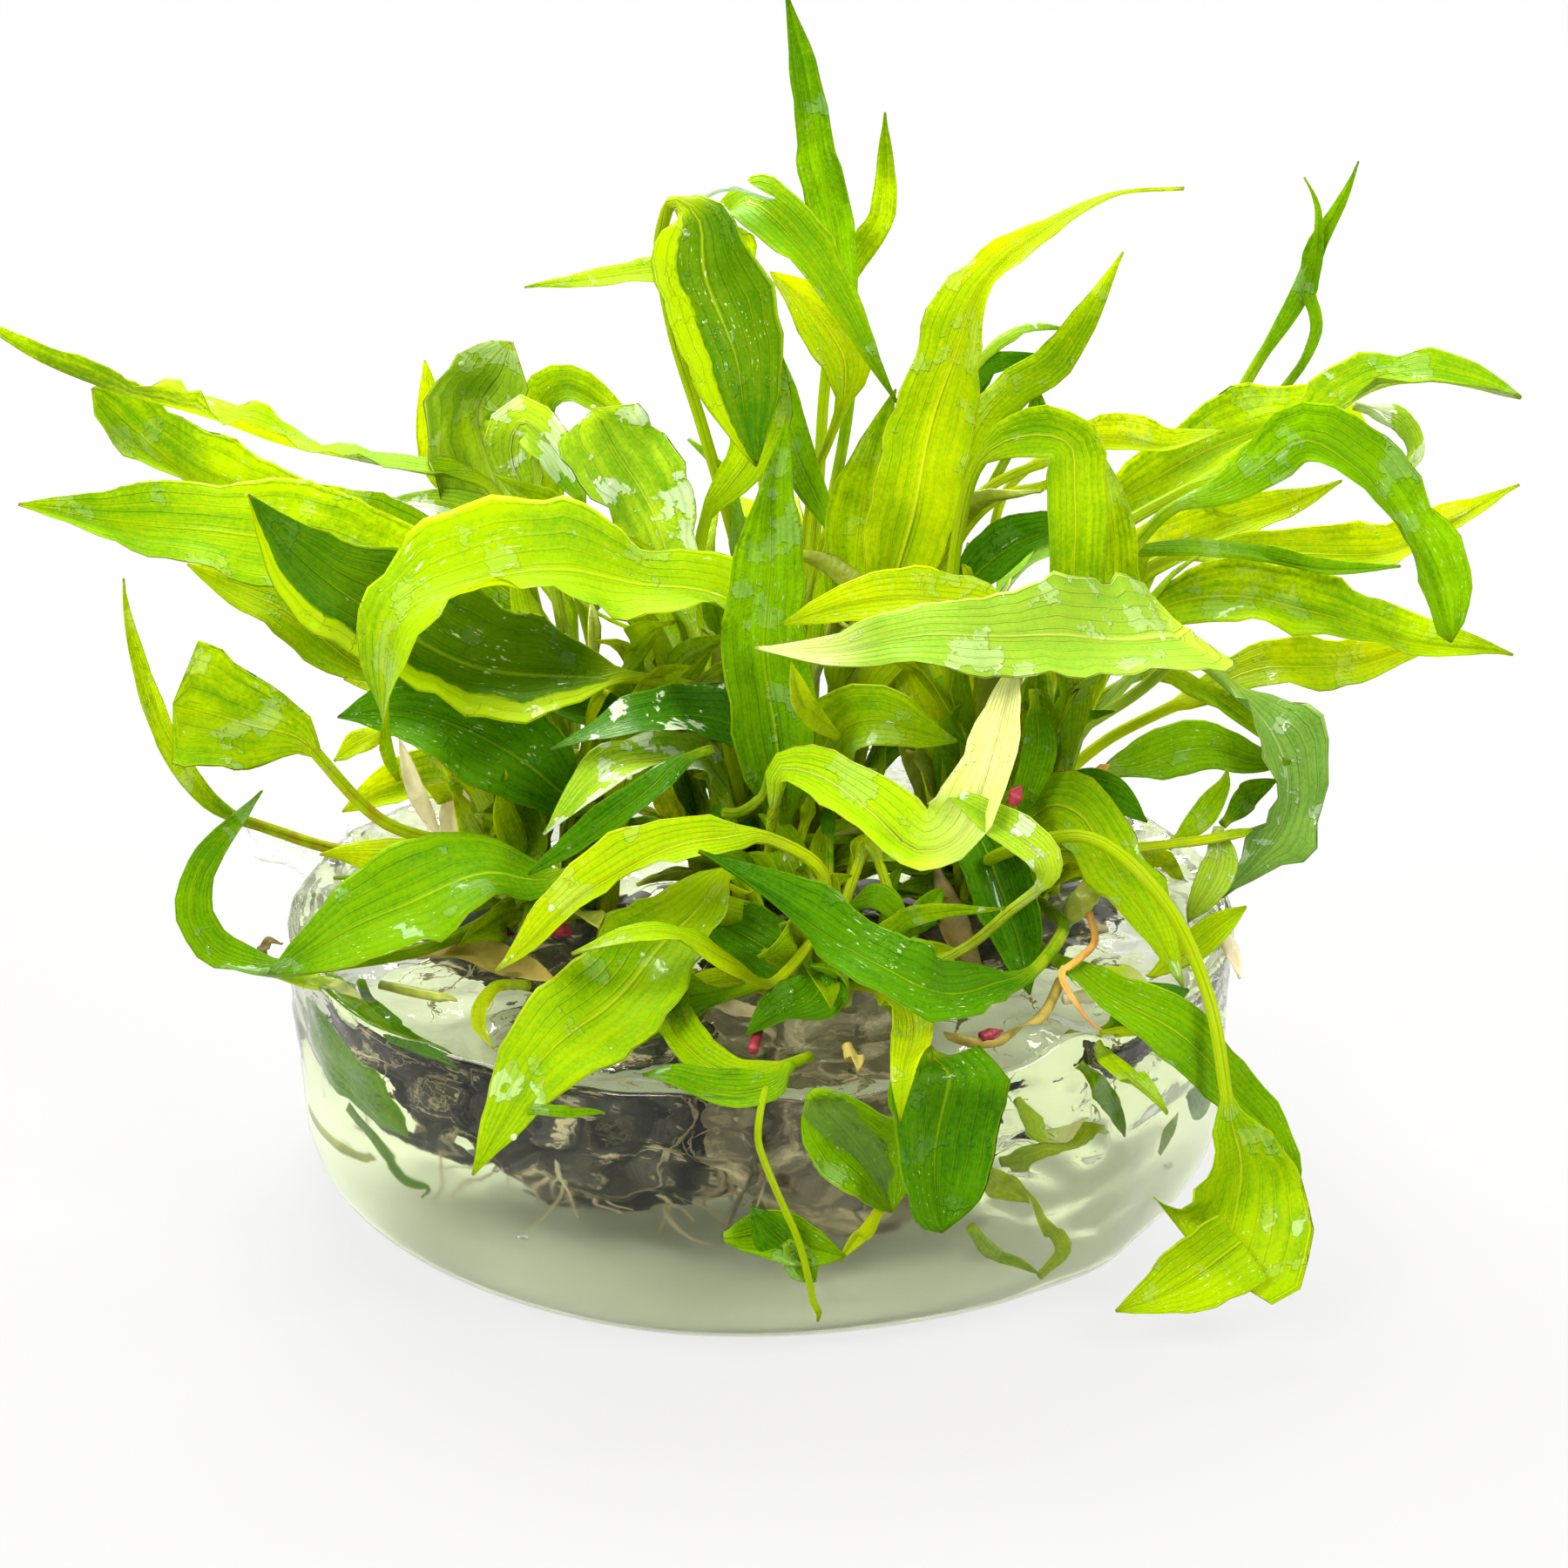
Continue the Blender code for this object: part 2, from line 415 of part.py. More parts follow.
def turned(name, profile, sides, collection, look):
    """A closed body turned from a profile of (radius, height) that starts and ends on the axis."""
    mesh = bpy.data.meshes.new(name)
    mesh.from_pydata([Vector((r * MM, 0, z * MM)) for r, z in profile],
                     [(k, k + 1) for k in range(len(profile) - 1)], [])
    made = add_object(name, mesh, collection, look)
    screw = made.modifiers.new("turn", "SCREW")
    screw.steps = sides
    screw.render_steps = sides
    screw.use_merge_vertices = True
    screw.merge_threshold = 0.00001
    screw.use_smooth_shade = False
    return made


def gel_profile():
    """The puck's side from the top down: flat top, straight flared wall, rounded bottom edge."""
    profile = [(0.0, GEL_HEIGHT), (GEL_TOP_RADIUS, GEL_HEIGHT)]
    for step in range(GEL_EDGE_STEPS + 1):
        angle = math.radians(90 * step / GEL_EDGE_STEPS)
        profile.append((GEL_FOOT_RADIUS - GEL_EDGE_ROUND * (1 - math.cos(angle)),
                        GEL_EDGE_ROUND * (1 - math.sin(angle))))
    return profile + [(0.0, 0.0)]


def rootstock_profile(radius, depth, spare):
    """A rootstock with its ball of roots, from its low crown down to the lowest root, spare mm bigger all over."""
    crown = GEL_HEIGHT + CROWN_RISE
    return [(0.0, crown + spare), (radius * 0.6, crown + spare), (radius + spare, GEL_HEIGHT - 1.5),
            (radius * 0.85 + spare, GEL_HEIGHT - depth * 0.55), (radius * 0.45 + spare, GEL_HEIGHT - depth - spare),
            (0.0, GEL_HEIGHT - depth - spare)]


def main():
    for item in list(bpy.data.objects):
        bpy.data.objects.remove(item)
    scene = bpy.context.scene
    parts = bpy.data.collections.new("cryptocoryne")
    cutters = bpy.data.collections.new("cutters")
    scene.collection.children.link(parts)
    scene.collection.children.link(cutters)

    clear = material("clear gel", (0.86, 0.9, 0.8), 0.05, 1.0)
    roots = material("roots", (0.18, 0.15, 0.09), 0.6)
    green = material("leaf green", (0.18, 0.45, 0.02), 0.35)

    gel = turned("gel_puck", gel_profile(), GEL_SIDES, parts, clear)
    for name, ((x, y), radius, depth) in ROOTSTOCKS.items():
        root = turned(name, rootstock_profile(radius, depth, 0.0), ROOTSTOCK_SIDES, parts, roots)
        root.location = (x * MM, y * MM, 0)
        pocket = turned(name + "_pocket", rootstock_profile(radius, depth, GAP), ROOTSTOCK_SIDES, cutters, None)
        pocket.location = (x * MM, y * MM, 0)
        pocket.hide_render = True
        pocket.display_type = "WIRE"
        cut = gel.modifiers.new(name, "BOOLEAN")
        cut.operation = "DIFFERENCE"
        cut.object = pocket

    leaves = [Leaf(name, *row) for name, row in LEAVES.items()]
    settle(leaves)
    for leaf in leaves:
        leaf_object(leaf, parts, green)


main()
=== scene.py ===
# %% [markdown]
# # Cryptocoryne plantlets in their culture gel
# The object is a clump of young water plants that grew in a sealed cup, on a clear nutrient jelly. Out of the
# cup, the jelly keeps the cup's round form and the clump stands in it. This notebook dresses the plain CAD
# solids: every leaf becomes a thin, veined, slightly ruffled sheet that lets light through, and the block
# becomes wet, clear gel with roots in it.

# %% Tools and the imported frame
import math

import bmesh
import bpy
import numpy as np
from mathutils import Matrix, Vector, noise


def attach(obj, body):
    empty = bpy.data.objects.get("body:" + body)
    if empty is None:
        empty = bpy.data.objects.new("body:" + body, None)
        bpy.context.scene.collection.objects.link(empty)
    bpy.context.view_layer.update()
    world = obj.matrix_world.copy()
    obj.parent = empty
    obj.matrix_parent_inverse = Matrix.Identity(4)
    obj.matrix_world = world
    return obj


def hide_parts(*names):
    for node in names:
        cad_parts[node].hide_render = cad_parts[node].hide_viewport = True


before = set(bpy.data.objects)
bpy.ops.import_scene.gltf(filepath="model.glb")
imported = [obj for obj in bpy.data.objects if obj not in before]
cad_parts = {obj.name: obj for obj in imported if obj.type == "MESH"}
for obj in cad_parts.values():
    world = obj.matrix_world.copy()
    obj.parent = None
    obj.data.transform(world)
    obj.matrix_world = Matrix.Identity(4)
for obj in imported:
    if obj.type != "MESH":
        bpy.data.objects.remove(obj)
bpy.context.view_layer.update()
MM = 0.001
print(f"{len(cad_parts)} CAD nodes loaded")


def add_object(name, data):
    """A new object in the scene."""
    made = bpy.data.objects.new(name, data)
    bpy.context.scene.collection.objects.link(made)
    return made


# %% [markdown]
# ## The camera
# The photograph was taken from a little above, with a long lens. A camera 320 mm away, looking 20 degrees
# down, gives the same ellipse for the gel's top and the same size for the near and the far leaves.

# %% Camera
EYE_FRONT = 300.7
EYE_RIGHT = 2.3
EYE_UP = 148.4
LOOK_DOWN = 20
lens = bpy.data.cameras.new("camera")
lens.lens = 73.4
lens.sensor_width = 36.0
lens.clip_start = 0.01
camera = add_object("camera", lens)
camera.location = (EYE_RIGHT * MM, -EYE_FRONT * MM, EYE_UP * MM)
camera.rotation_euler = (math.radians(90 - LOOK_DOWN), 0, 0)
bpy.context.scene.camera = camera
print("camera at", [round(c, 3) for c in camera.location])

# %% [markdown]
# ## The sizes the solids were made from
# The same values and the same points as in the CAD source are repeated here, in millimetres,
# because each fine leaf has to lie exactly where its plain solid lies. A point says how far across and how
# high the leaf's midrib is seen on an upright plane through the gel's axis, and how far in front of that
# plane it really is.

# %% Sizes
GEL_TOP_RADIUS = 47.5
GEL_FOOT_RADIUS = 46.8
GEL_HEIGHT = 26.3
GEL_EDGE_ROUND = 7.0
CROWN_RISE = 1.2
CROWNS = {"left": ((-21.0, 0.0), 9.5), "middle": ((1.0, 5.0), 10.0), "right": ((23.5, 2.0), 9.5),
          "front": ((6.0, -20.0), 9.0)}
PETIOLE_HALF_WIDTH = 0.8
TIP_HALF_WIDTH = 0.3
BLADE_RINGS = 8
PETIOLE_RING_SPACING = 9.0
CLEARANCE = 2.6
SETTLE_ROUNDS = 120
SAMPLE_STEP = 2.0
PAIR_ROUNDS = 8
CURVE_STEPS = 16

# %% [markdown]
# ## The leaves
# A row is one leaf: its name, its crown, its finish, the blade's half width, the share of the midrib where
# the blade starts, and where its upper side faces, in degrees turned to the right and degrees lifted. Then
# come its own habits, if any. The solid knows end (where it faces at the tip) and base and tip (how slowly it
# widens and narrows). Only the fine leaf knows wide, full and blunt, which scale its width, base and tip, and
# ruffle, fold, curl, teeth, later (how far up the blade opens) and cut (how much of the leaf is left). The
# midrib's points follow the colon. The last three rows are at the back, hidden from the front.

# %% The leaves, one row each
LEAVES = """
far_left_ribbon left fresh 3.2 0.42 -10,75 end=-10,88 wide=1.15 ruffle=1.3 curl=60 : -21,48,-8 -24,67,-12
    -31,71,-14 -38,72.5,-14 -46,75,-12 -55,77.7,-10 -65,81,-8 -75,86.3,-5
left_high left fresh 4.6 0.42 0,50 blunt=0.35 ruffle=0.9 : -22,48,-14 -32,57,-18 -44,65,-20 -55,71.5,-20
    -64,79.3,-18
left_long left fresh 5.6 0.34 0,48 : -20,46,-4 -30,57,-2 -40,62.5,2 -50,65.2,4 -60,66.2,6 -72,67.8,8
left_dark middle edged_below 6.4 0.45 -5,50 : -3,42,8 -6,49,10 -15,50.4,12 -24,51.4,14 -32,53.7,15 -40,58.3,16
    -46,63.5,16 -49.6,68.8,16
left_brown_tip left fresh 3.1 0.45 0,45 : -18,50,-8 -26,60,-10 -33,64,-8 -40,67,-6 -47,70.4,-4
big_arch middle fresh 6.3 0.26 0,50 end=-75,25 base=0.9 tip=0.75 fold=0.35 ruffle=0.8 curl=10 : 3,42,8 2,54,10
    -4,59,13 -10,60.3,16 -16,61.5,18 -22,62,20 -28,61.7,22 -33,59.8,24 -36.5,55,26 -37.6,50,27 -37.2,44,27
    -36.3,39.3,26
left_low_dark left dark 4.9 0.3 0,40 : -15,34,6 -20,38.5,10 -25,42,12 -30,45.3,13 -35,47,12 -42,46,10
left_thin_curl left olive_stalk 1.9 0.45 20,20 end=30,10 wide=0.62 ruffle=1.6 : -34,29,-6 -42,28.6,-8
    -48,30.8,-8 -53.5,35,-6 -57.5,40,-4 -60,46,-3 -61.6,53,-2 -62.3,60.3,0
left_round left olive_stalk 6.3 0.68 0,25 base=0.55 tip=0.12 blunt=0.5 ruffle=1 : -24,31,6 -30,31.8,8
    -36,33.5,10 -42.5,38.7,9 -45.5,43.6,8 -50,45.6,8 -58.3,47.5,8
left_hook left mid 2.4 0.45 -30,60 end=20,20 wide=0.75 ruffle=1.5 fold=0.6 : -30,21,16 -38,18.8,20 -45,18.2,22
    -51,19.5,23 -55.7,21.7,23 -57.7,26,23 -56,31,23 -50,38.2,25
left_low_gloss middle mid 5.2 0.46 -10,50 : -9,35,6 -15,31,12 -22,28.8,18 -28,29.3,21 -34,27.2,24 -42,23.2,27
    -50.5,18.3,27
left_top_broad left grey 4.8 0.5 10,20 blunt=0.6 ruffle=2 fold=0.7 teeth=0.1 wide=1.15 : -22,52,-16 -24,64,-18
    -26.5,72,-18 -27,77.5,-16 -23.6,83.8,-12
left_top_fold left pale 2.6 0.62 10,20 blunt=0.8 ruffle=2 fold=0.9 teeth=0.1 : -20,52,-10 -22.6,67,-9
    -24.2,73,-8 -22.6,76.4,-6 -19.6,73,-5 -17,67.6,-4
left_wet middle pale 4.4 0.5 0,25 blunt=0.15 wide=1.15 ruffle=1.5 fold=0.25 teeth=0.08 : -5,48,-3 -8,59,-4
    -10.5,66,-3 -13,71.5,-2 -16,77.3,-1
left_wrinkled left fresh 2.4 0.5 0,30 blunt=0.6 ruffle=1.4 : -17,52,-20 -20.5,68,-22 -21.5,77,-22 -18,79.5,-20
    -12.3,75.7,-18
dark_gloss middle gloss 3.3 0.35 0,55 : 1.6,36,10 0.8,42.5,13 -3,46,16 -8,46.4,18 -14,45.4,20 -21,42.6,21
wet_low middle pale 2.9 0.35 0,60 : -3,36,8 -5.5,42,12 -10,42,16 -15,40.3,19 -21.9,33.5,22
front_arch front lime 2.8 0.4 0,60 fold=0.5 ruffle=0.9 : 6.6,24,26 6.3,29,28 3,32.6,29 -3,33.2,31 -10,32,33
    -18,27.5,35 -27.2,18.6,37
front_hanging front fresh 5.2 0.22 0,45 : -2,29.5,22 -6.5,26,26 -12,19.5,33 -18,12,40 -24,4.6,46 -30.3,-4.8,50
over_rim front dark 5.2 0.48 22,8 base=0.5 tip=0.75 blunt=0.9 wide=1.15 fold=0.3 curl=5 : 13,13.2,34
    16.6,8.6,43.6 18.3,6.2,48 18.8,1,48.6 18.7,-4,48.6 18.9,-11.4,48.4
front_broad right dark 3.7 0.38 0,60 : 30.5,23,20 29,19.6,24 24,17,30 18,16.9,35 12,20,38 5,24.6,39 -6.3,31.8,38
front_left_low front mid 2.9 0.25 0,60 : -4,15.5,30 -10,13,34 -16,9.6,38 -24.2,3.6,44
front_middle_dark front dark 2.9 0.2 0,50 : 6,17.5,30 5,15.2,33.5 2.6,12.2,35.5 -1.6,8.4,38
front_small front lime 2 0.25 0,40 : 13,16.3,34 15,14,42 14.6,8,48 14.4,1.6,51
bright_fold middle yellow 3.2 0.3 0,55 end=-20,20 blunt=0.7 fold=0.7 curl=0 teeth=0.08 : 1.5,34,12 1.6,40,16
    4.5,41.3,19 9,38.4,22 13.5,34,25 17.3,31.4,27 20.6,34.8,28 22.8,41,28 25.1,51.8,27
middle_green middle fresh 3.5 0.42 0,40 : 6.6,34,9 5.8,40,11 7.2,44.2,13 11,45.9,15 19.6,43.5,17
middle_upright middle mid 3.2 0.2 0,20 wide=1.3 ruffle=0.9 fold=0.5 : 2,37,10 1,45,15 0.7,55,18 1,62,20
    1.2,70,21 2.5,76.6,21
pale_front right grey_tip 6.1 0.42 0,45 base=0.5 tip=0.85 full=0.12 wide=1.05 ruffle=0.9 curl=5 fold=0.25
    teeth=0.07 later=0.1 : 24,36,4 32,44,1 39.5,50,3 42.2,54.2,9 39.5,55,16 33,55,21 24,54.6,25 15,53.8,28
    7,53,29 -0.6,53.2,29
pale_second right lime 2.9 0.55 0,45 : 21,40,9 25,51,11 23.6,57,14 17,58.6,18 10,58,21 2,55.6,23
tall_broad middle lime 4.1 0.3 5,15 end=-10,80 base=0.7 tip=1.3 blunt=1.35 wide=1.05 fold=0.5 : 10,42,-3
    12.2,55,-1 14.6,67,1 17,77,1 19.4,86,1 22,90.6,0 26,93.8,-1 32,97.7,-2 39.8,98.4,-4
middle_dark middle fresh 3.3 0.35 0,20 : 7,46,-6 8.5,57,-7 9.8,66,-7 11,73,-7 13,79.2,-7
arch_right middle fresh 2.9 0.5 10,40 : 2,55,-22 0,74,-24 -3,90,-20 -2.6,96.8,-14 1.6,96,-9 5,91.4,-6 9,85,-4
    13.2,77.8,-3
arch_left middle edged 5.4 0.62 -5,30 base=0.5 tip=0.9 wide=0.95 full=1.3 later=0.3 fold=0.5 curl=5 : 0,52,-14
    -4,70,-16 -9,88,-12 -8.6,96.6,-5 -5.6,95.6,0 -5,89,4 -2.6,82,7 -0.4,71.6,9
behind_arch middle fresh 2.9 0.5 0,25 : -5,50,-8 -6.6,60,-9 -5,67,-9 -1.6,72,-9 0,78,-9 -3,88,-8 -7.9,96.4,-8
tallest middle mid 2.3 0.6 0,15 : 6,62,-28 9,82,-31 7.3,91,-31 6,99,-30 4.6,107,-29 2.4,116.6,-28
tall_curved middle fresh 1.5 0.72 10,15 : 5,60,-32 6.6,84,-36 9.2,91.8,-36 11.6,96,-35 11.7,105.4,-33
back_left_far middle fresh 1.7 0.66 0,50 : 1,60,-26 -1,80,-29 -6,89.4,-29 -13,90.2,-29 -22.3,89,-29
right_up right fresh 2.1 0.5 10,30 : 18,56,-8 19.6,70,-9 23,78.4,-10 28,82.3,-11 31.4,87.4,-12 34.3,92.4,-12
right_fold right fresh 3 0.5 10,30 base=0.6 tip=0.8 : 18.6,52,3 19,63,3 20.6,71,5 24,74,7 28.4,75,9 31,72,11
    30.6,62,13 31,50,13 30.6,39,12
right_point right fresh 2.5 0.4 15,20 : 31,46,7 33.8,56,8 34.5,64,8 32.2,74.3,8
right_tall right mid 1.1 0.72 0,20 : 33,48,-24 39,63,-29 45,77,-32 51.2,88.3,-34 53,94,-34 56,100.9,-34
right_back_broad right fresh 3.8 0.5 0,45 : 26,52,-20 33,66,-23 40,72,-23 47,75.4,-23 54,77,-23 60.5,71.5,-23
right_far_ribbon right fresh 2.1 0.55 0,60 wide=1.5 blunt=0.6 fold=0.5 : 28,52,-4 35,66,-4 43,69.7,-4 50,73.7,-3
    56,78.6,-2 64,80.8,0 73,78.4,0
right_arch right mid 2.3 0.5 10,50 end=40,30 wide=1.5 blunt=0.5 fold=0.6 : 29,48,3 37,64.6,2 44,69,2 50,73,2
    54,74.6,3 59,70.6,5 65,63,6 68,53.8,6
right_back_lime right lime 2.9 0.42 0,40 : 30,54,-15 37,62.4,-15 45,65.6,-15 56.3,70.2,-15
right_middle_lime right lime 2.8 0.5 0,50 ruffle=1.6 : 30,52,-8 37,61.4,-10 45,62.7,-10 53,63.2,-9 62,63.9,-8
    73.5,69.8,-8
right_low_point right fresh 3.5 0.4 0,50 ruffle=1.1 fold=0.45 : 29,46,-3 35,54.6,-3 41,57.8,-3 49,58.5,-2
    60,55.6,0 74.2,52.5,0
right_low_lime right lime 2.9 0.42 0,50 : 28,37,-8 34.7,43.8,-10 42,47.6,-10 50,50.9,-9 59,52.3,-9 68.6,54.6,-8
right_ruffled right dull 3.7 0.34 20,45 end=40,15 base=0.5 tip=0.8 wide=0.95 ruffle=2.2 later=0.38 fold=0.5
    teeth=0.13 : 28,40,-2 34,48.4,-5 40.5,52.6,-6 46,49.6,-3 51.4,44.4,2 53.6,38.6,5 51.8,33,6 46.7,26.7,6
right_dark_hanging right fresh 3.6 0.3 15,40 ruffle=1 fold=0.4 : 27,35,14 31,37,18 35,32.4,21 38,26.3,24
    43.2,16.8,28
long_stem right fresh 4.7 0.7 10,35 end=0,60 base=0.45 tip=0.6 wide=1.5 full=1.7 blunt=0.12 ruffle=1.8 fold=0.35
    curl=5 cut=0.9 teeth=0.1 : 24,31,18 31,33.8,22 39,28.8,27 45.2,17.6,32 47.6,7,35 49,1,37 50.2,-5,39
    49.2,-12.6,41 45,-16.6,42 38.5,-19.4,43
right_front_arch right mid 2.7 0.34 10,50 end=30,20 ruffle=1.2 fold=0.5 : 30,19,24 34,13,31 41,9.8,34 48,6.4,35
    54,-1,35 55.8,-10,35
back_left left fresh 4.2 0.4 180,45 : -18,52,-22 -22,62,-29 -27,66,-38 -34,65,-50
back_middle middle lime 4.4 0.4 180,45 : 1,52,-32 0,64,-40 0,68,-48 2,66,-60
back_right right mid 4.2 0.4 180,45 : 20,52,-24 25,61,-34 29,64,-44 35,61,-55
"""


def value(word):
    """The number in a word, or the numbers where commas part them."""
    parts = tuple(float(part) for part in word.split(","))
    return parts if len(parts) > 1 else parts[0]


def table(text):
    """The rows of a table, each as its words; an indented line goes on with the row above it."""
    return [line.split() for line in text.strip().replace("\n    ", " ").splitlines()]


def options(words):
    """The options among some words, such as fold=0.5."""
    return {key: value(number) for key, number in (word.split("=") for word in words)}


def blade(half_width, start, face, end=None, base=0.8, tip=1.0):
    """A blade's form."""
    return {"half_width": half_width, "start": start, "face": face, "end": end or face, "base": base,
            "tip": tip}


# %% [markdown]
# ## From points to curves
# A smooth curve runs through each leaf's points. Where leaves would touch, they are moved apart along the
# line of sight, so the clump keeps its outline. This repeats the CAD source's steps with the same numbers,
# so it arrives at the same places.

# %% Curves through the points
def seen(point):
    """The place of a point given as (across, up, toward), slid along the line of sight."""
    across, up, toward = point
    nearness = (EYE_FRONT - toward) / EYE_FRONT
    return np.array([EYE_RIGHT + (across - EYE_RIGHT) * nearness, -toward,
                     EYE_UP + (up - EYE_UP) * nearness])


def smooth_path(knots):
    """A smooth curve through the knots, and how far along it each of its points lies."""
    knots = np.array(knots)
    padded = np.vstack([2 * knots[0] - knots[1], knots, 2 * knots[-1] - knots[-2]])
    curve = []
    for k in range(len(knots) - 1):
        a, b, c, d = padded[k:k + 4]
        for t in np.linspace(0, 1, CURVE_STEPS, endpoint=False):
            curve.append(0.5 * (2 * b + (c - a) * t + (2 * a - 5 * b + 4 * c - d) * t ** 2
                                + (3 * b - a - 3 * c + d) * t ** 3))
    curve = np.array(curve + [knots[-1]])
    length = np.concatenate([[0], np.cumsum(np.linalg.norm(np.diff(curve, axis=0), axis=1))])
    return curve, length


def on_curve(at, curve, length):
    """The curve's points at some lengths along it."""
    return np.stack([np.interp(at, length, curve[:, k]) for k in range(3)], 1)


def blade_shares(at, start, whole):
    """The share of the blade at some places along a leaf, 0 on its stalk."""
    return np.clip((at - start) / (whole - start), 0, 1)


def fullness(share, form):
    """How full a blade is at each share of its length, 1 where it is widest."""
    base, tip = form["base"], form["tip"]
    widest = base / (base + tip)
    return share ** base * (1 - share) ** tip / (widest ** base * (1 - widest) ** tip)


def unit(rows):
    """Directions, each with a length of one."""
    return rows / np.linalg.norm(rows, axis=1)[:, None]


def facing(turn, lift):
    """The direction that a blade's upper side faces, from degrees turned to the right and lifted."""
    turn, lift = math.radians(turn), math.radians(lift)
    return np.array([math.sin(turn) * math.cos(lift), -math.cos(turn) * math.cos(lift), math.sin(lift)])


def sides(points, share, form):
    """Across and upward directions at each point of a midrib."""
    along = unit(np.gradient(points, axis=0))
    start, end = facing(*form["face"]), facing(*form["end"])
    wanted = start + (end - start) * share[:, None]
    upward = unit(wanted - (wanted * along).sum(1)[:, None] * along)
    return np.cross(along, upward), upward


# %% A leaf as rings along its midrib
class Leaf:
    """One leaf with its petiole, as rings along the midrib, each with a middle and a half width."""

    def __init__(self, crown, form, points):
        self.form = form
        centre, radius = CROWNS[crown]
        outward = seen(points[0])[:2] - np.array(centre)
        outward = outward / max(np.linalg.norm(outward), 1e-6)
        foot = np.array([*(np.array(centre) + outward * radius * 0.55), GEL_HEIGHT + CROWN_RISE + 1.2])
        curve, length = smooth_path([foot] + [seen(p) for p in points])
        start = form["start"] * length[-1]
        stalk_rings = max(3, round(start / PETIOLE_RING_SPACING))
        at = np.concatenate([np.linspace(0, start, stalk_rings, endpoint=False),
                             np.linspace(start, length[-1], BLADE_RINGS + 1)])
        self.middle = on_curve(at, curve, length)
        self.share = blade_shares(at, start, length[-1])
        stalk = np.where(self.share > 0.5, TIP_HALF_WIDTH, PETIOLE_HALF_WIDTH)
        self.half = np.maximum(form["half_width"] * fullness(self.share, form), stalk)

    def spread(self):
        """Where sample points lie on the leaf: ring, share of the way to the next ring, place across."""
        steps = np.linalg.norm(np.diff(self.middle, axis=0), axis=1)
        rows = []
        for ring, step in enumerate(steps):
            parts = max(1, round(step / SAMPLE_STEP))
            for t in np.arange(parts) / parts:
                half = self.half[ring] * (1 - t) + self.half[ring + 1] * t
                points = max(1, round(2 * half / SAMPLE_STEP)) if half > 1 else 0
                places = np.linspace(-half, half, points + 1) if points else [0.0]
                rows += [(ring, t, place, half) for place in places]
        rows.append((len(steps) - 1, 1.0, 0.0, self.half[-1]))
        return np.array(rows)


# %% Moving touching leaves apart
def close_pairs(place, owner, reach):
    """Every two sample points of different leaves that are nearer than reach."""
    square = (place ** 2).sum(1)
    apart = square[:, None] + square[None, :] - 2 * place @ place.T
    a, b = np.where(np.triu(apart < reach ** 2, 1))
    keep = owner[a] != owner[b]
    return a[keep], b[keep]


def clear_of_gel(place):
    """Lifts points off the gel's top, or moves them out past its wall, where they would touch it."""
    margin, pace = 1.2, 0.6
    out = np.linalg.norm(place[:, :2], axis=1)
    under = GEL_HEIGHT + CROWN_RISE + margin - place[:, 2]
    within = GEL_TOP_RADIUS + margin - out
    into = np.minimum(under, within)
    up = (into > 0) & (under <= within)
    push = np.zeros_like(place)
    push[up, 2] = into[up] * pace
    side = (into > 0) & ~up
    push[side, :2] = place[side, :2] / out[side, None] * into[side, None] * pace
    low = place[:, 2] < margin
    push[low, 2] += (margin - place[low, 2]) * pace
    return push


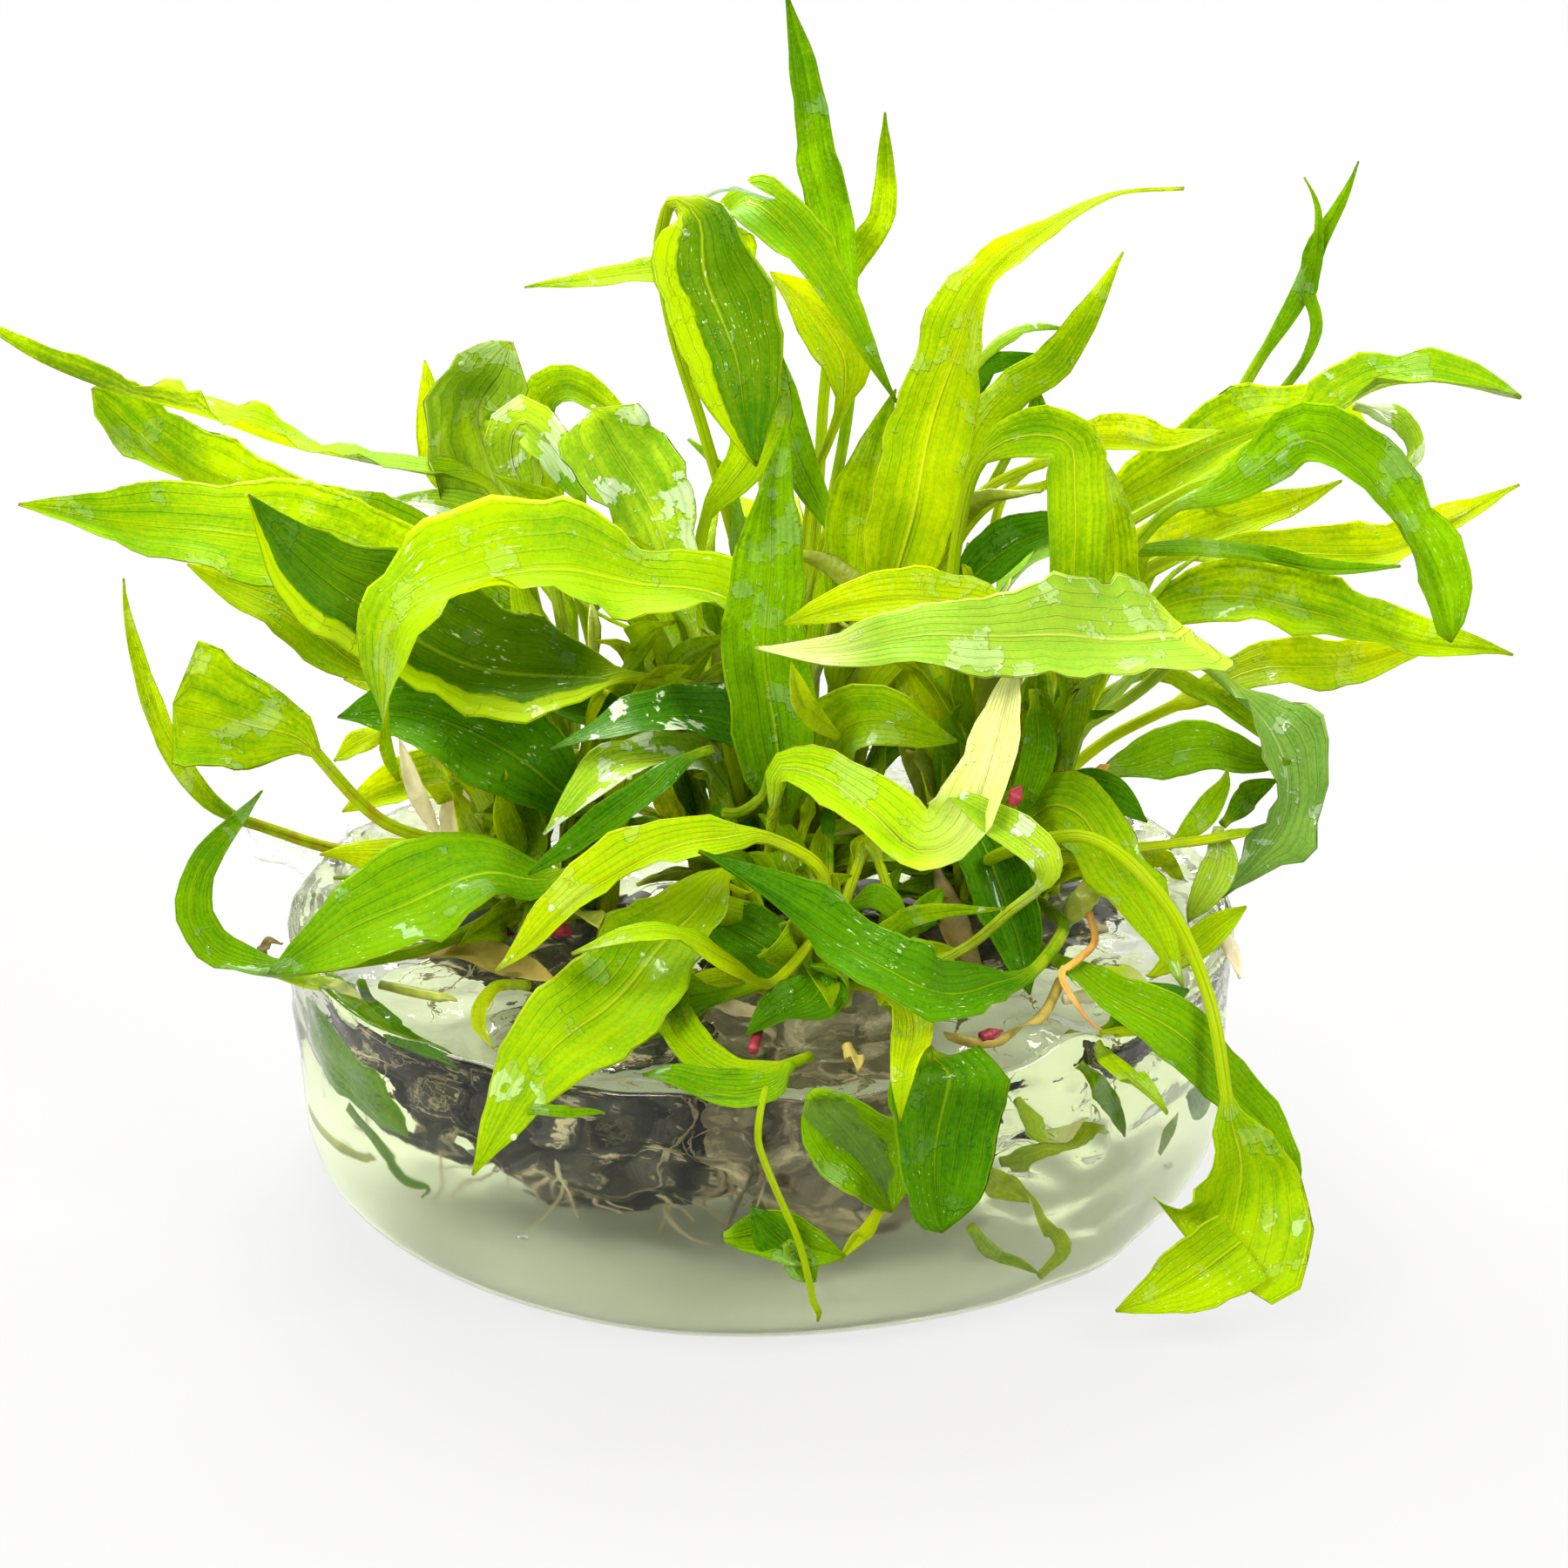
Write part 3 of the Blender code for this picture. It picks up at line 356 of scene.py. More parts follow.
def settle(leaves):
    """Moves leaves that would touch apart, blades along the line of sight and petioles sideways, bit by bit,
    so that the clump keeps its outline from the front."""
    eye = np.array([EYE_RIGHT, -EYE_FRONT, EYE_UP])
    pace = 0.4
    spreads = [leaf.spread() for leaf in leaves]
    owner = np.concatenate([np.full(len(rows), k) for k, rows in enumerate(spreads)])
    ring = np.concatenate([rows[:, 0] + rows[:, 1] for rows in spreads])
    stalk = np.concatenate([rows[:, 3] for rows in spreads]) < 1
    for number in range(SETTLE_ROUNDS):
        parts = []
        for leaf, rows in zip(leaves, spreads):
            across, _upward = sides(leaf.middle, leaf.share, leaf.form)
            k = rows[:, 0].astype(int)
            t = rows[:, 1:2]
            side = across[k] * (1 - t) + across[k + 1] * t
            parts.append(leaf.middle[k] * (1 - t) + leaf.middle[k + 1] * t + side * rows[:, 2:3])
        place = np.vstack(parts)
        if number % PAIR_ROUNDS == 0:
            near_a, near_b = close_pairs(place, owner, CLEARANCE + 3)
        sight = unit(place - eye)
        gap = place[near_a] - place[near_b]
        apart = np.linalg.norm(gap, axis=1)
        keep = apart < CLEARANCE
        a, b, gap, apart = near_a[keep], near_b[keep], gap[keep], apart[keep]
        depth = (gap * sight[a]).sum(1)
        aside = np.sqrt(np.maximum(apart ** 2 - depth ** 2, 0))
        needed = np.sqrt(np.maximum(CLEARANCE ** 2 - aside ** 2, 0))
        # One side wins for a whole crossing, so that a blade passes in front of another or behind it
        order = np.lexsort((ring[a], owner[b], owner[a]))
        pair = owner[a[order]] * 1000 + owner[b[order]]
        fresh = (np.diff(pair) != 0) | (np.diff(ring[a[order]]) > 1.5)
        group = np.zeros(len(a), int)
        group[order] = np.concatenate([[0], np.cumsum(fresh)])
        sign = np.where(np.bincount(group, depth)[group] >= 0, 1.0, -1.0)
        stalks = stalk[a] & stalk[b]
        lack = np.where(stalks, CLEARANCE - apart, needed - depth * sign)
        flat = gap * (1, 1, 0)
        flat[np.linalg.norm(flat, axis=1) < 1e-3] = (1, 0, 0)
        way = np.where(stalks[:, None], unit(flat), sight[a] * sign[:, None])
        move = way * np.clip(lack, 0, 3)[:, None] * pace
        push = np.zeros_like(place)
        count = np.ones(len(place))
        for ends, moved in ((a, move), (b, -move)):
            np.add.at(push, ends, moved)
            np.add.at(count, ends, 1)
        push = push / np.maximum(count - 1, 1)[:, None] + clear_of_gel(place)
        size = np.linalg.norm(push, axis=1)
        for k, leaf in enumerate(leaves):
            mine = owner == k
            own, own_size, own_ring = push[mine], size[mine], ring[mine]
            moved = np.zeros_like(leaf.middle)
            for r in range(len(moved)):
                near = np.abs(own_ring - r) < 1
                moved[r] = own[near][np.argmax(own_size[near])]
            for _ in range(2):
                padded = np.vstack([moved[:1], moved, moved[-1:]])
                moved = 0.5 * padded[1:-1] + 0.25 * (padded[:-2] + padded[2:])
            moved[0, 2] = 0
            leaf.middle = leaf.middle + moved
    print(f"settled: {len(a)} sample points still nearer than {CLEARANCE} mm")


# %% Settle the leaves
SOLID_HABITS = ("end", "base", "tip")
leaves, tones, habits = {}, {}, {}
for row in table(LEAVES):
    name, crown, tones[name], half_width, start, face = row[:6]
    colon = row.index(":")
    habits[name] = options(row[6:colon])
    solid = {key: habits[name].pop(key) for key in SOLID_HABITS if key in habits[name]}
    leaves[name] = Leaf(crown, blade(value(half_width), value(start), value(face), **solid),
                        [value(word) for word in row[colon + 1:]])
settle(list(leaves.values()))

# %% [markdown]
# ## A leaf's flesh
# A cryptocoryne leaf is a round stalk that opens into a flat blade. So the mesh is one closed skin: a ring
# of points that is round on the stalk, and flattens to a lens a third of a millimetre thick on the blade.
# The blade sags to its midrib, and its margins wave a little. The UV map holds the place across the leaf and
# the place along it (the stalk takes the first quarter), so that veins can follow the leaf's form.

# %% Skin of one leaf
ACROSS = (-1, -0.93, -0.65, -0.33, 0, 0.33, 0.65, 0.93, 1)
RING = np.array(ACROSS + tuple(-v for v in ACROSS[1:-1]))
UNDERSIDE = np.arange(len(RING)) >= len(ACROSS)
BLADE_THICKNESS = 0.34
FINE_TIP_HALF_WIDTH = 0.12
RIB_HEIGHT = 0.28
RIB_WIDTH = 0.16
STALK_SHARE = 0.25


def sway(rng, at, longest):
    """A smooth random line between about -1 and 1 along a leaf."""
    line = np.zeros(len(at))
    for share, weight in ((1.0, 0.6), (0.47, 0.4)):
        line += weight * np.sin(2 * math.pi * at / (longest * share) + rng.uniform(0, 2 * math.pi))
    return line


def fine_leaf(middle, share, form, seed, ruffle=0.6, fold=0.3, stalk=0.62, rings=None, later=0.0, curl=22,
              cut=1.0, teeth=0.045):
    """Vertices, faces and UVs of one leaf, from rings on its midrib and each ring's share of the blade."""
    rng = np.random.default_rng(seed)
    curve, length = smooth_path(middle)
    rings = rings or int(min(90, max(36, length[-1] / 1.5)))
    at = np.linspace(0, length[-1] * cut, rings)
    points = on_curve(at, curve, length)
    blade_share = blade_shares(np.interp(at, length[::CURVE_STEPS][:len(middle)], share), later, 1)
    blade_share /= blade_share.max()
    start = at[max(0, int(np.argmax(blade_share > 0)) - 1)]
    least = np.where(blade_share > 0.5, FINE_TIP_HALF_WIDTH, stalk)
    half = np.maximum(form["half_width"] * fullness(blade_share, form), least)
    flat = np.clip((half - 0.8) / 1.2, 0, 1)
    flat = np.where(blade_share > 0.5, 1, flat * flat * (3 - 2 * flat))
    thick = (2 * stalk) * (1 - flat) + BLADE_THICKNESS * flat
    across, upward = sides(points, blade_share, form)
    roll = (np.radians(14) * sway(rng, at, 46)
            + np.radians(rng.uniform(-curl, curl)) * blade_share ** 2)[:, None]
    across, upward = (across * np.cos(roll) + upward * np.sin(roll),
                      upward * np.cos(roll) - across * np.sin(roll))
    calm = np.sin(np.pi * blade_share) ** 0.6
    for way, longest in ((across, 38), (upward, 31)):
        points = points + way * (0.5 * sway(rng, at, longest) * flat * calm)[:, None]
    wide = [1 + 0.12 * sway(rng, at, longest) + teeth * sway(rng, at, tooth)
            for longest, tooth in ((27, 6), (24, 5))]
    swing = [sway(rng, at, rng.uniform(*longest)) for longest in ((9, 14), (8, 12))]
    strong = 0.7 + 0.5 * sway(rng, at, 33)
    folded = fold * (1 + 0.8 * sway(rng, at, 52))
    verts, uvs = [], []
    for r in range(rings):
        side_wave, side_wide = (np.where(RING > 0, right[r], left[r]) for right, left in (swing, wide))
        edge = np.abs(RING) ** 2.2 * calm[r]
        height = folded[r] * half[r] * (np.abs(RING) ** 1.4 - 0.45) * flat[r]
        height = height + ruffle * strong[r] * edge * side_wave * min(half[r] / 3, 1.2)
        lens_half = 0.5 * thick[r] * np.sqrt(np.maximum(1 - RING ** 2, 0))
        rib = RIB_HEIGHT * np.exp(-(RING / RIB_WIDTH) ** 2) * flat[r] * (1 - 0.8 * blade_share[r])
        height = height + np.where(UNDERSIDE, -lens_half - rib, lens_half - 0.35 * rib)
        width = half[r] * (1 + (side_wide - 1) * flat[r])
        verts.append(points[r] + across[r] * (RING * width)[:, None] + upward[r] * height[:, None])
        place = STALK_SHARE * at[r] / max(start, 1e-3) if at[r] < start else \
            STALK_SHARE + (1 - STALK_SHARE) * blade_share[r]
        uvs.append(np.stack([(RING + 1) / 2, np.full(len(RING), place)], 1))
    count = len(RING)
    faces = [(r * count + k, r * count + (k + 1) % count, (r + 1) * count + (k + 1) % count,
              (r + 1) * count + k) for r in range(rings - 1) for k in range(count)]
    faces += [range(count - 1, -1, -1), range((rings - 1) * count, rings * count)]
    return np.vstack(verts), faces, np.vstack(uvs)


def closed_mesh(name, points, faces, merge=False):
    """A smooth mesh with its faces turned outwards."""
    mesh = bpy.data.meshes.new(name)
    mesh.from_pydata(points, [], faces)
    shape = bmesh.new()
    shape.from_mesh(mesh)
    if merge:
        bmesh.ops.remove_doubles(shape, verts=shape.verts, dist=1e-6)
    bmesh.ops.recalc_face_normals(shape, faces=shape.faces)
    shape.to_mesh(mesh)
    shape.free()
    mesh.shade_smooth()
    return mesh


def skin_object(name, skins, finishes):
    """One object from several skins, each with its own finish."""
    looks = list(dict.fromkeys(finishes))
    faces, index, start = [], [], 0
    for (points, polygons, _coordinates), finish in zip(skins, finishes):
        faces += [tuple(start + corner for corner in face) for face in polygons]
        index += [looks.index(finish)] * len(polygons)
        start += len(points)
    mesh = closed_mesh(name, (np.vstack([skin[0] for skin in skins]) * MM).tolist(), faces)
    for look in looks:
        mesh.materials.append(look)
    mesh.polygons.foreach_set("material_index", index)
    corners = np.empty(len(mesh.loops), int)
    mesh.loops.foreach_get("vertex_index", corners)
    uvs = np.vstack([skin[2] for skin in skins])
    mesh.uv_layers.new(name="leaf").data.foreach_set("uv", uvs[corners].ravel())
    return add_object(name, mesh)


# %% [markdown]
# ## Writing a finish
# A finish is a small graph of shader nodes, and the things that grow later are graphs too. To keep them
# readable, a wire out of a node is wrapped in a class whose +, - and * add the Math node, so a mask can be
# written as plain arithmetic.

# %% Graph arithmetic
def arithmetic(operation):
    """The two methods that a sign needs, for a wire on its left and for a wire on its right."""
    return (lambda wire, other: wire.graph.maths(operation, wire, other),
            lambda wire, other: wire.graph.maths(operation, other, wire))


class Wire:
    """A number running through a graph."""

    def __init__(self, graph, socket):
        self.graph = graph
        self.socket = socket

    __add__, __radd__ = arithmetic("ADD")
    __sub__, __rsub__ = arithmetic("SUBTRACT")
    __mul__, __rmul__ = arithmetic("MULTIPLY")


class Graph:
    """A tree of nodes."""

    def __init__(self, tree):
        self.tree = tree

    def node(self, kind, settings=None, sockets=None, out=0):
        """Adds a node, sets it, links or fills its sockets, and returns the wire from one of its outputs."""
        made = self.tree.nodes.new(kind)
        for key, setting in (settings or {}).items():
            setattr(made, key, setting)
        for key, given in (sockets or {}).items():
            socket = made.inputs[key]
            if isinstance(given, Wire):
                self.tree.links.new(given.socket, socket)
            elif socket.type == "RGBA":
                socket.default_value = (*given[:3], 1)
            else:
                socket.default_value = given
        return Wire(self, made.outputs[out])

    def maths(self, operation, *numbers):
        """The result of one Math node."""
        return self.node("ShaderNodeMath", {"operation": operation}, dict(enumerate(numbers)))

    def parts(self, vector):
        """The three numbers of a vector."""
        split = self.node("ShaderNodeSeparateXYZ", None, {0: vector}).socket.node
        return [Wire(self, output) for output in split.outputs]

    def vector(self, x, y, z):
        """A vector from three numbers or wires."""
        return self.node("ShaderNodeCombineXYZ", None, {0: x, 1: y, 2: z})


class Finish(Graph):
    """A material and the graph of nodes that makes it."""

    def __init__(self, name):
        self.material = bpy.data.materials.new(name)
        self.material.use_nodes = True
        super().__init__(self.material.node_tree)
        self.tree.nodes.clear()
        self.output = self.tree.nodes.new("ShaderNodeOutputMaterial")

    def here(self):
        """The place on the object, in its own coordinates."""
        return self.node("ShaderNodeTexCoord", out=3)

    def mix(self, amount, first, second):
        """A colour between two colours."""
        return self.node("ShaderNodeMix", {"data_type": "RGBA"}, {0: amount, 6: first, 7: second}, 2)

    def step(self, wire, low, high):
        """0 below low, 1 above high, and smooth between."""
        return self.node("ShaderNodeMapRange", {"interpolation_type": "SMOOTHSTEP"},
                         {"Value": wire, "From Min": low, "From Max": high})

    def noise(self, scale, detail=3.0, roughness=0.55, stretch=None, warp=0.0, place=None):
        """Noise with about `scale` blobs to the metre of the object's own coordinates, or of a given place."""
        place = place or self.here()
        if stretch:
            place = self.node("ShaderNodeMapping", None, {"Vector": place, "Scale": stretch})
        return self.node("ShaderNodeTexNoise", None, {
            "Vector": place, "Scale": scale, "Detail": detail, "Roughness": roughness, "Distortion": warp})

    def bump(self, strength, distance, height):
        """A bumpy normal."""
        return self.node("ShaderNodeBump", None,
                         {"Strength": strength, "Distance": distance, "Height": height})

    def skin(self, **sockets):
        """A Principled shader; an underscore in a socket's name here stands for a space."""
        return self.node("ShaderNodeBsdfPrincipled", None,
                         {key.replace("_", " "): given for key, given in sockets.items()})

    def lit_through(self, amount, skin, glow):
        """A shader that partly lets light through."""
        shine = self.node("ShaderNodeBsdfTranslucent", None, {"Color": glow})
        return self.end(self.node("ShaderNodeMixShader", None, {0: amount, 1: skin, 2: shine}))

    def end(self, shader, volume=None):
        """Joins the last shader to the output."""
        self.tree.links.new(shader.socket, self.output.inputs["Surface"])
        if volume:
            self.tree.links.new(volume.socket, self.output.inputs["Volume"])
        return self.material


# %% [markdown]
# ## The leaf finishes
# Light falls on a leaf and light comes through it: held against the light, it glows yellow-green. A
# Principled shader gives the wet skin, and a Translucent one the glow. The greens differ from leaf to leaf,
# so a few finishes share one recipe: a pale midrib that fades towards the tip, a few fine parallel veins,
# broad patches and lengthwise streaks of lighter and darker green, fine grain, a painted highlight along the
# margin and small painted white glints. Some finishes also paint a milky reflection over the wet patches, and
# two paint one side of the leaf lit and the rest in shade.

# %% Leaf recipe
PAINTED_SHEEN_WHITE = (0.80, 0.88, 0.66)
PAINTED_GLINT = (0.88, 0.95, 0.60)
BLEACHED_TIP = (0.93, 0.92, 0.36)
BROWN_POINT = (0.28, 0.16, 0.02)


def leaf_finish(name, light, deep, rib, glow, stalk=(0.40, 0.52, 0.01), roughness=0.34, wet=0.35,
                through=0.45, haze=0.06, film=0.0, margin=0.0, cover=0.575, bleached=1.0):
    """A leaf's finish from its light and deep green, its midrib, the glow of light through it and its stalk.

    wet is how glossy the wet patches are, film how strongly a milky white painted reflection covers
    them, cover the noise level where they begin (less makes them larger), margin how far one side is painted
    lit and the rest painted shade (less than zero: the other side), and bleached where the tip starts to be
    cream."""
    f = Finish(name)
    uv = f.node("ShaderNodeUVMap", {"uv_map": "leaf"})
    place, along, _depth = f.parts(uv)
    over = f.parts(f.here())[0]
    side = f.maths("ABSOLUTE", place * 2 - 1)
    streak = f.noise(1.0, 3.0, 0.6, place=f.vector(place * 13, along * 4, over * 25))
    painted_glint_noise = f.noise(1.0, 2.0, 0.6, place=f.vector(place * 36, along * 40, over * 60))
    patch = f.noise(55, 2.0)
    grain = f.noise(430, 3.0, 0.65)
    speck = f.noise(2300, 2.0, 0.6)
    rib_mask = 1 - f.step(side, 0.01, 0.11 - along * 0.08)
    vein = f.step(f.maths("COSINE", side * 30 + patch * 6), 0.7, 1.0) * (1 - rib_mask)
    cells = f.node("ShaderNodeTexWave", {"wave_type": "BANDS", "bands_direction": "Y"},
                   {"Vector": uv, "Scale": 26.0, "Distortion": 5.0, "Detail": 2.0, "Detail Scale": 2.0})
    shade = f.step(patch * 0.4 + streak * 0.32 + grain * 0.14 + speck * 0.22, 0.41, 0.67)
    # painted light: with margin, a strip along one side of the leaf is painted lit and the rest painted shade,
    # as where a leaf behind casts its shadow through it
    if margin:
        lit = (place * 2 - 1) * math.copysign(1, margin) + patch * 0.6 + grain * 0.2
        shade = shade * (1 - abs(margin)) + abs(margin) * f.step(lit, 0.93, 1.0)
    colour = f.mix(shade, deep, light)
    colour = f.mix(vein * 0.08 + f.step(cells, 0.8, 1.0) * 0.02, colour, rib)
    colour = f.mix(rib_mask * (1 - f.step(along, 0.4, 1.0)) * 0.5, colour, rib)
    # painted highlight: a lighter line along the leaf's margin
    colour = f.mix(f.step(side, 0.92, 1.0) * 0.5, colour, rib)
    if bleached < 1:
        colour = f.mix(f.step(along + patch * 0.3 - 0.15, bleached, bleached + 0.25), colour, BLEACHED_TIP)
    stalk_mask = 1 - f.step(along, 0.2, 0.34)
    stalk_shade = f.step(grain * 0.6 + patch * 0.4, 0.38, 0.62)
    colour = f.mix(stalk_mask, colour, f.mix(stalk_shade, stalk, light))
    colour = f.mix(f.step(along, 0.985, 1.0) * 0.5, colour, BROWN_POINT)
    # Wet patches: a real glossy coat, and on the finishes that ask for it a milky white painted reflection
    wet_patch_and_painted_sheen = f.step(f.noise(190, 4.0, 0.65), cover, cover + 0.02) * (1 - stalk_mask)
    # painted reflection: a milky white is painted over the wet patches
    if film:
        colour = f.mix(wet_patch_and_painted_sheen * (0.4 + grain * 0.8) * film, colour, PAINTED_SHEEN_WHITE)
    # painted highlight: small white glints are mixed into the base colour where this noise peaks
    glint = f.step(painted_glint_noise, 0.66, 0.70) * f.step(patch, 0.52, 0.6) * (1 - stalk_mask)
    skin = f.skin(
        Base_Color=f.mix(glint * 0.6, colour, PAINTED_GLINT), Roughness=roughness + grain * 0.14 - wet_patch_and_painted_sheen * 0.2,
        Normal=f.bump(0.85, 0.0003, vein * 0.4 + rib_mask * 0.8 + grain * 0.8 + wet_patch_and_painted_sheen * 0.5 + streak * 0.7),
        Coat_Weight=wet_patch_and_painted_sheen * wet, Coat_Roughness=0.06, Coat_IOR=1.5, IOR=1.42, Specular_IOR_Level=haze,
        Specular_Tint=(0.9, 1.0, 0.4))
    return f.lit_through(through * (1 - stalk_mask * 0.6) * (1 - rib_mask * 0.15) * (0.2 + shade), skin, glow)


# %% [markdown]
# A row names a finish and its material, then gives its light green, its deep green, its midrib and its glow.

# %% The greens, one row each
# painted light: edged and edged_below paint one side of the leaf lit and the rest in shade, and the milky sheen
# on wet patches is a painted reflection
GREENS = """
lime leaf_lime 0.5,0.63,0.001 0.22,0.4,0.001 0.76,0.82,0.03 0.92,0.95,0.002 through=0.5 film=0.06
fresh leaf_fresh_green 0.38,0.55,0.001 0.11,0.28,0.001 0.58,0.7,0.02 0.84,0.95,0.003 through=0.5 film=0.06
mid leaf_mid_green 0.22,0.42,0.001 0.055,0.19,0.001 0.38,0.58,0.01 0.58,0.82,0.002 through=0.44 film=0.08
dark leaf_dark_green 0.1,0.28,0.001 0.018,0.1,0.001 0.26,0.46,0.006 0.26,0.58,0.002 through=0.36
edged leaf_dark_with_lime_sides 0.46,0.6,0.001 0.025,0.13,0.001 0.4,0.56,0.01 0.74,0.9,0.002
    through=0.44 margin=0.8
edged_below leaf_dark_with_lime_margin 0.46,0.6,0.001 0.02,0.11,0.001 0.34,0.5,0.01 0.7,0.86,0.002
    through=0.42 margin=-0.85
dull leaf_dull_green 0.26,0.45,0.06 0.08,0.22,0.02 0.48,0.64,0.18 0.4,0.64,0.04
    roughness=0.42 wet=0.6 through=0.36 haze=0.4 film=0.3 cover=0.56
grey leaf_grey_green 0.46,0.61,0.04 0.22,0.4,0.012 0.64,0.74,0.12 0.74,0.88,0.02
    roughness=0.42 wet=0.4 through=0.42 haze=0.35 film=0.3 cover=0.55
pale leaf_pale_wet 0.52,0.68,0.03 0.16,0.4,0.003 0.7,0.84,0.15 0.8,0.94,0.01
    roughness=0.24 wet=1 through=0.46 haze=0.25 film=0.9 cover=0.53
gloss leaf_dark_gloss 0.07,0.24,0.002 0.016,0.1,0.001 0.2,0.42,0.01 0.2,0.52,0.003
    roughness=0.2 wet=1 through=0.34 haze=0.4 film=1 cover=0.54
yellow leaf_yellow 0.66,0.84,0.01 0.3,0.56,0.001 0.88,0.9,0.15 0.86,1,0.01 through=0.42 film=0.1 bleached=0.6
grey_tip leaf_grey_cream_tip 0.38,0.55,0.03 0.17,0.35,0.01 0.64,0.74,0.12 0.62,0.8,0.015
    roughness=0.4 wet=0.6 through=0.4 haze=0.35 film=0.22 cover=0.57 bleached=0.78
olive_stalk leaf_olive_stalk 0.38,0.55,0.001 0.11,0.28,0.001 0.58,0.7,0.02 0.84,0.95,0.003
    stalk=0.34,0.24,0.01 through=0.5 film=0.15 cover=0.56
"""
finishes = {}
for key, name, *words in table(GREENS):
    finishes[key] = leaf_finish(name, *map(value, words[:4]), **options(words[4:]))

# %% Skin every leaf
for number, (name, leaf) in enumerate(leaves.items()):
    habit = {"wide": 1, "full": 1, "blunt": 1, "ruffle": 0.9, "fold": 0.42, "teeth": 0.05, **habits[name]}
    form = dict(leaf.form, half_width=leaf.form["half_width"] * habit.pop("wide"),
                base=leaf.form["base"] * habit.pop("full"), tip=leaf.form["tip"] * habit.pop("blunt"))
    skin = fine_leaf(leaf.middle, leaf.share, form, number, **habit)
    piece = skin_object(f"leaf_{name}_skin", [skin], [finishes[tones[name]]])
    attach(piece, "root")
    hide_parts("leaf_" + name)
print(len(leaves), "leaves skinned")

# %% [markdown]
# ## Young leaves, curls, stems and dead bits
# Between the big leaves stand many small ones: young blades, curled tips, bare stalks, and a few dead bits in
# cream, orange and red. They are too small for solids of their own, so they are only here, a handful to a
# piece. A row with one word starts a piece. Each other row gives a finish, the half width, where the blade
# starts, which way it faces, and its points. A blade that starts before zero begins broad, as a torn-off
# piece does.

# %% Finishes of the dead bits
def dry_finish(name, light, deep, roughness=0.5, through=0.25):
    """A dead or dry bit: blotchy colour, with a bump from the same blotches."""
    f = Finish(name)
    blotch = f.step(f.noise(260, 3.0) * 0.6 + f.noise(900, 2.0) * 0.4, 0.35, 0.68)
    skin = f.skin(Base_Color=f.mix(blotch, deep, light), Roughness=roughness,
                  Normal=f.bump(0.6, 0.0002, blotch))
    return f.lit_through(through * (0.7 + blotch * 0.5), skin, light)


DRY = """
olive stalk_olive 0.5,0.55,0.06 0.26,0.3,0.02 roughness=0.35
straw dead_leaf_straw 0.66,0.5,0.1 0.4,0.3,0.04
brown dead_leaf_brown 0.34,0.22,0.05 0.12,0.1,0.02
cream dead_stalk_cream 0.9,0.84,0.62 0.7,0.58,0.32 roughness=0.4 through=0.45
orange dead_bit_orange 0.85,0.5,0.08 0.6,0.26,0.04
red dead_bit_red 0.5,0.04,0.07 0.3,0.03,0.04
silver wet_scrap 0.72,0.8,0.66 0.5,0.62,0.42 roughness=0.2 through=0.4
root_cream roots_cream 0.74,0.64,0.42 0.4,0.31,0.16 roughness=0.35 through=0.2
root_brown roots_brown 0.2,0.17,0.09 0.06,0.055,0.035 roughness=0.4 through=0.1
"""
for key, name, light, deep, *words in table(DRY):
    finishes[key] = dry_finish(name, value(light), value(deep), **options(words))

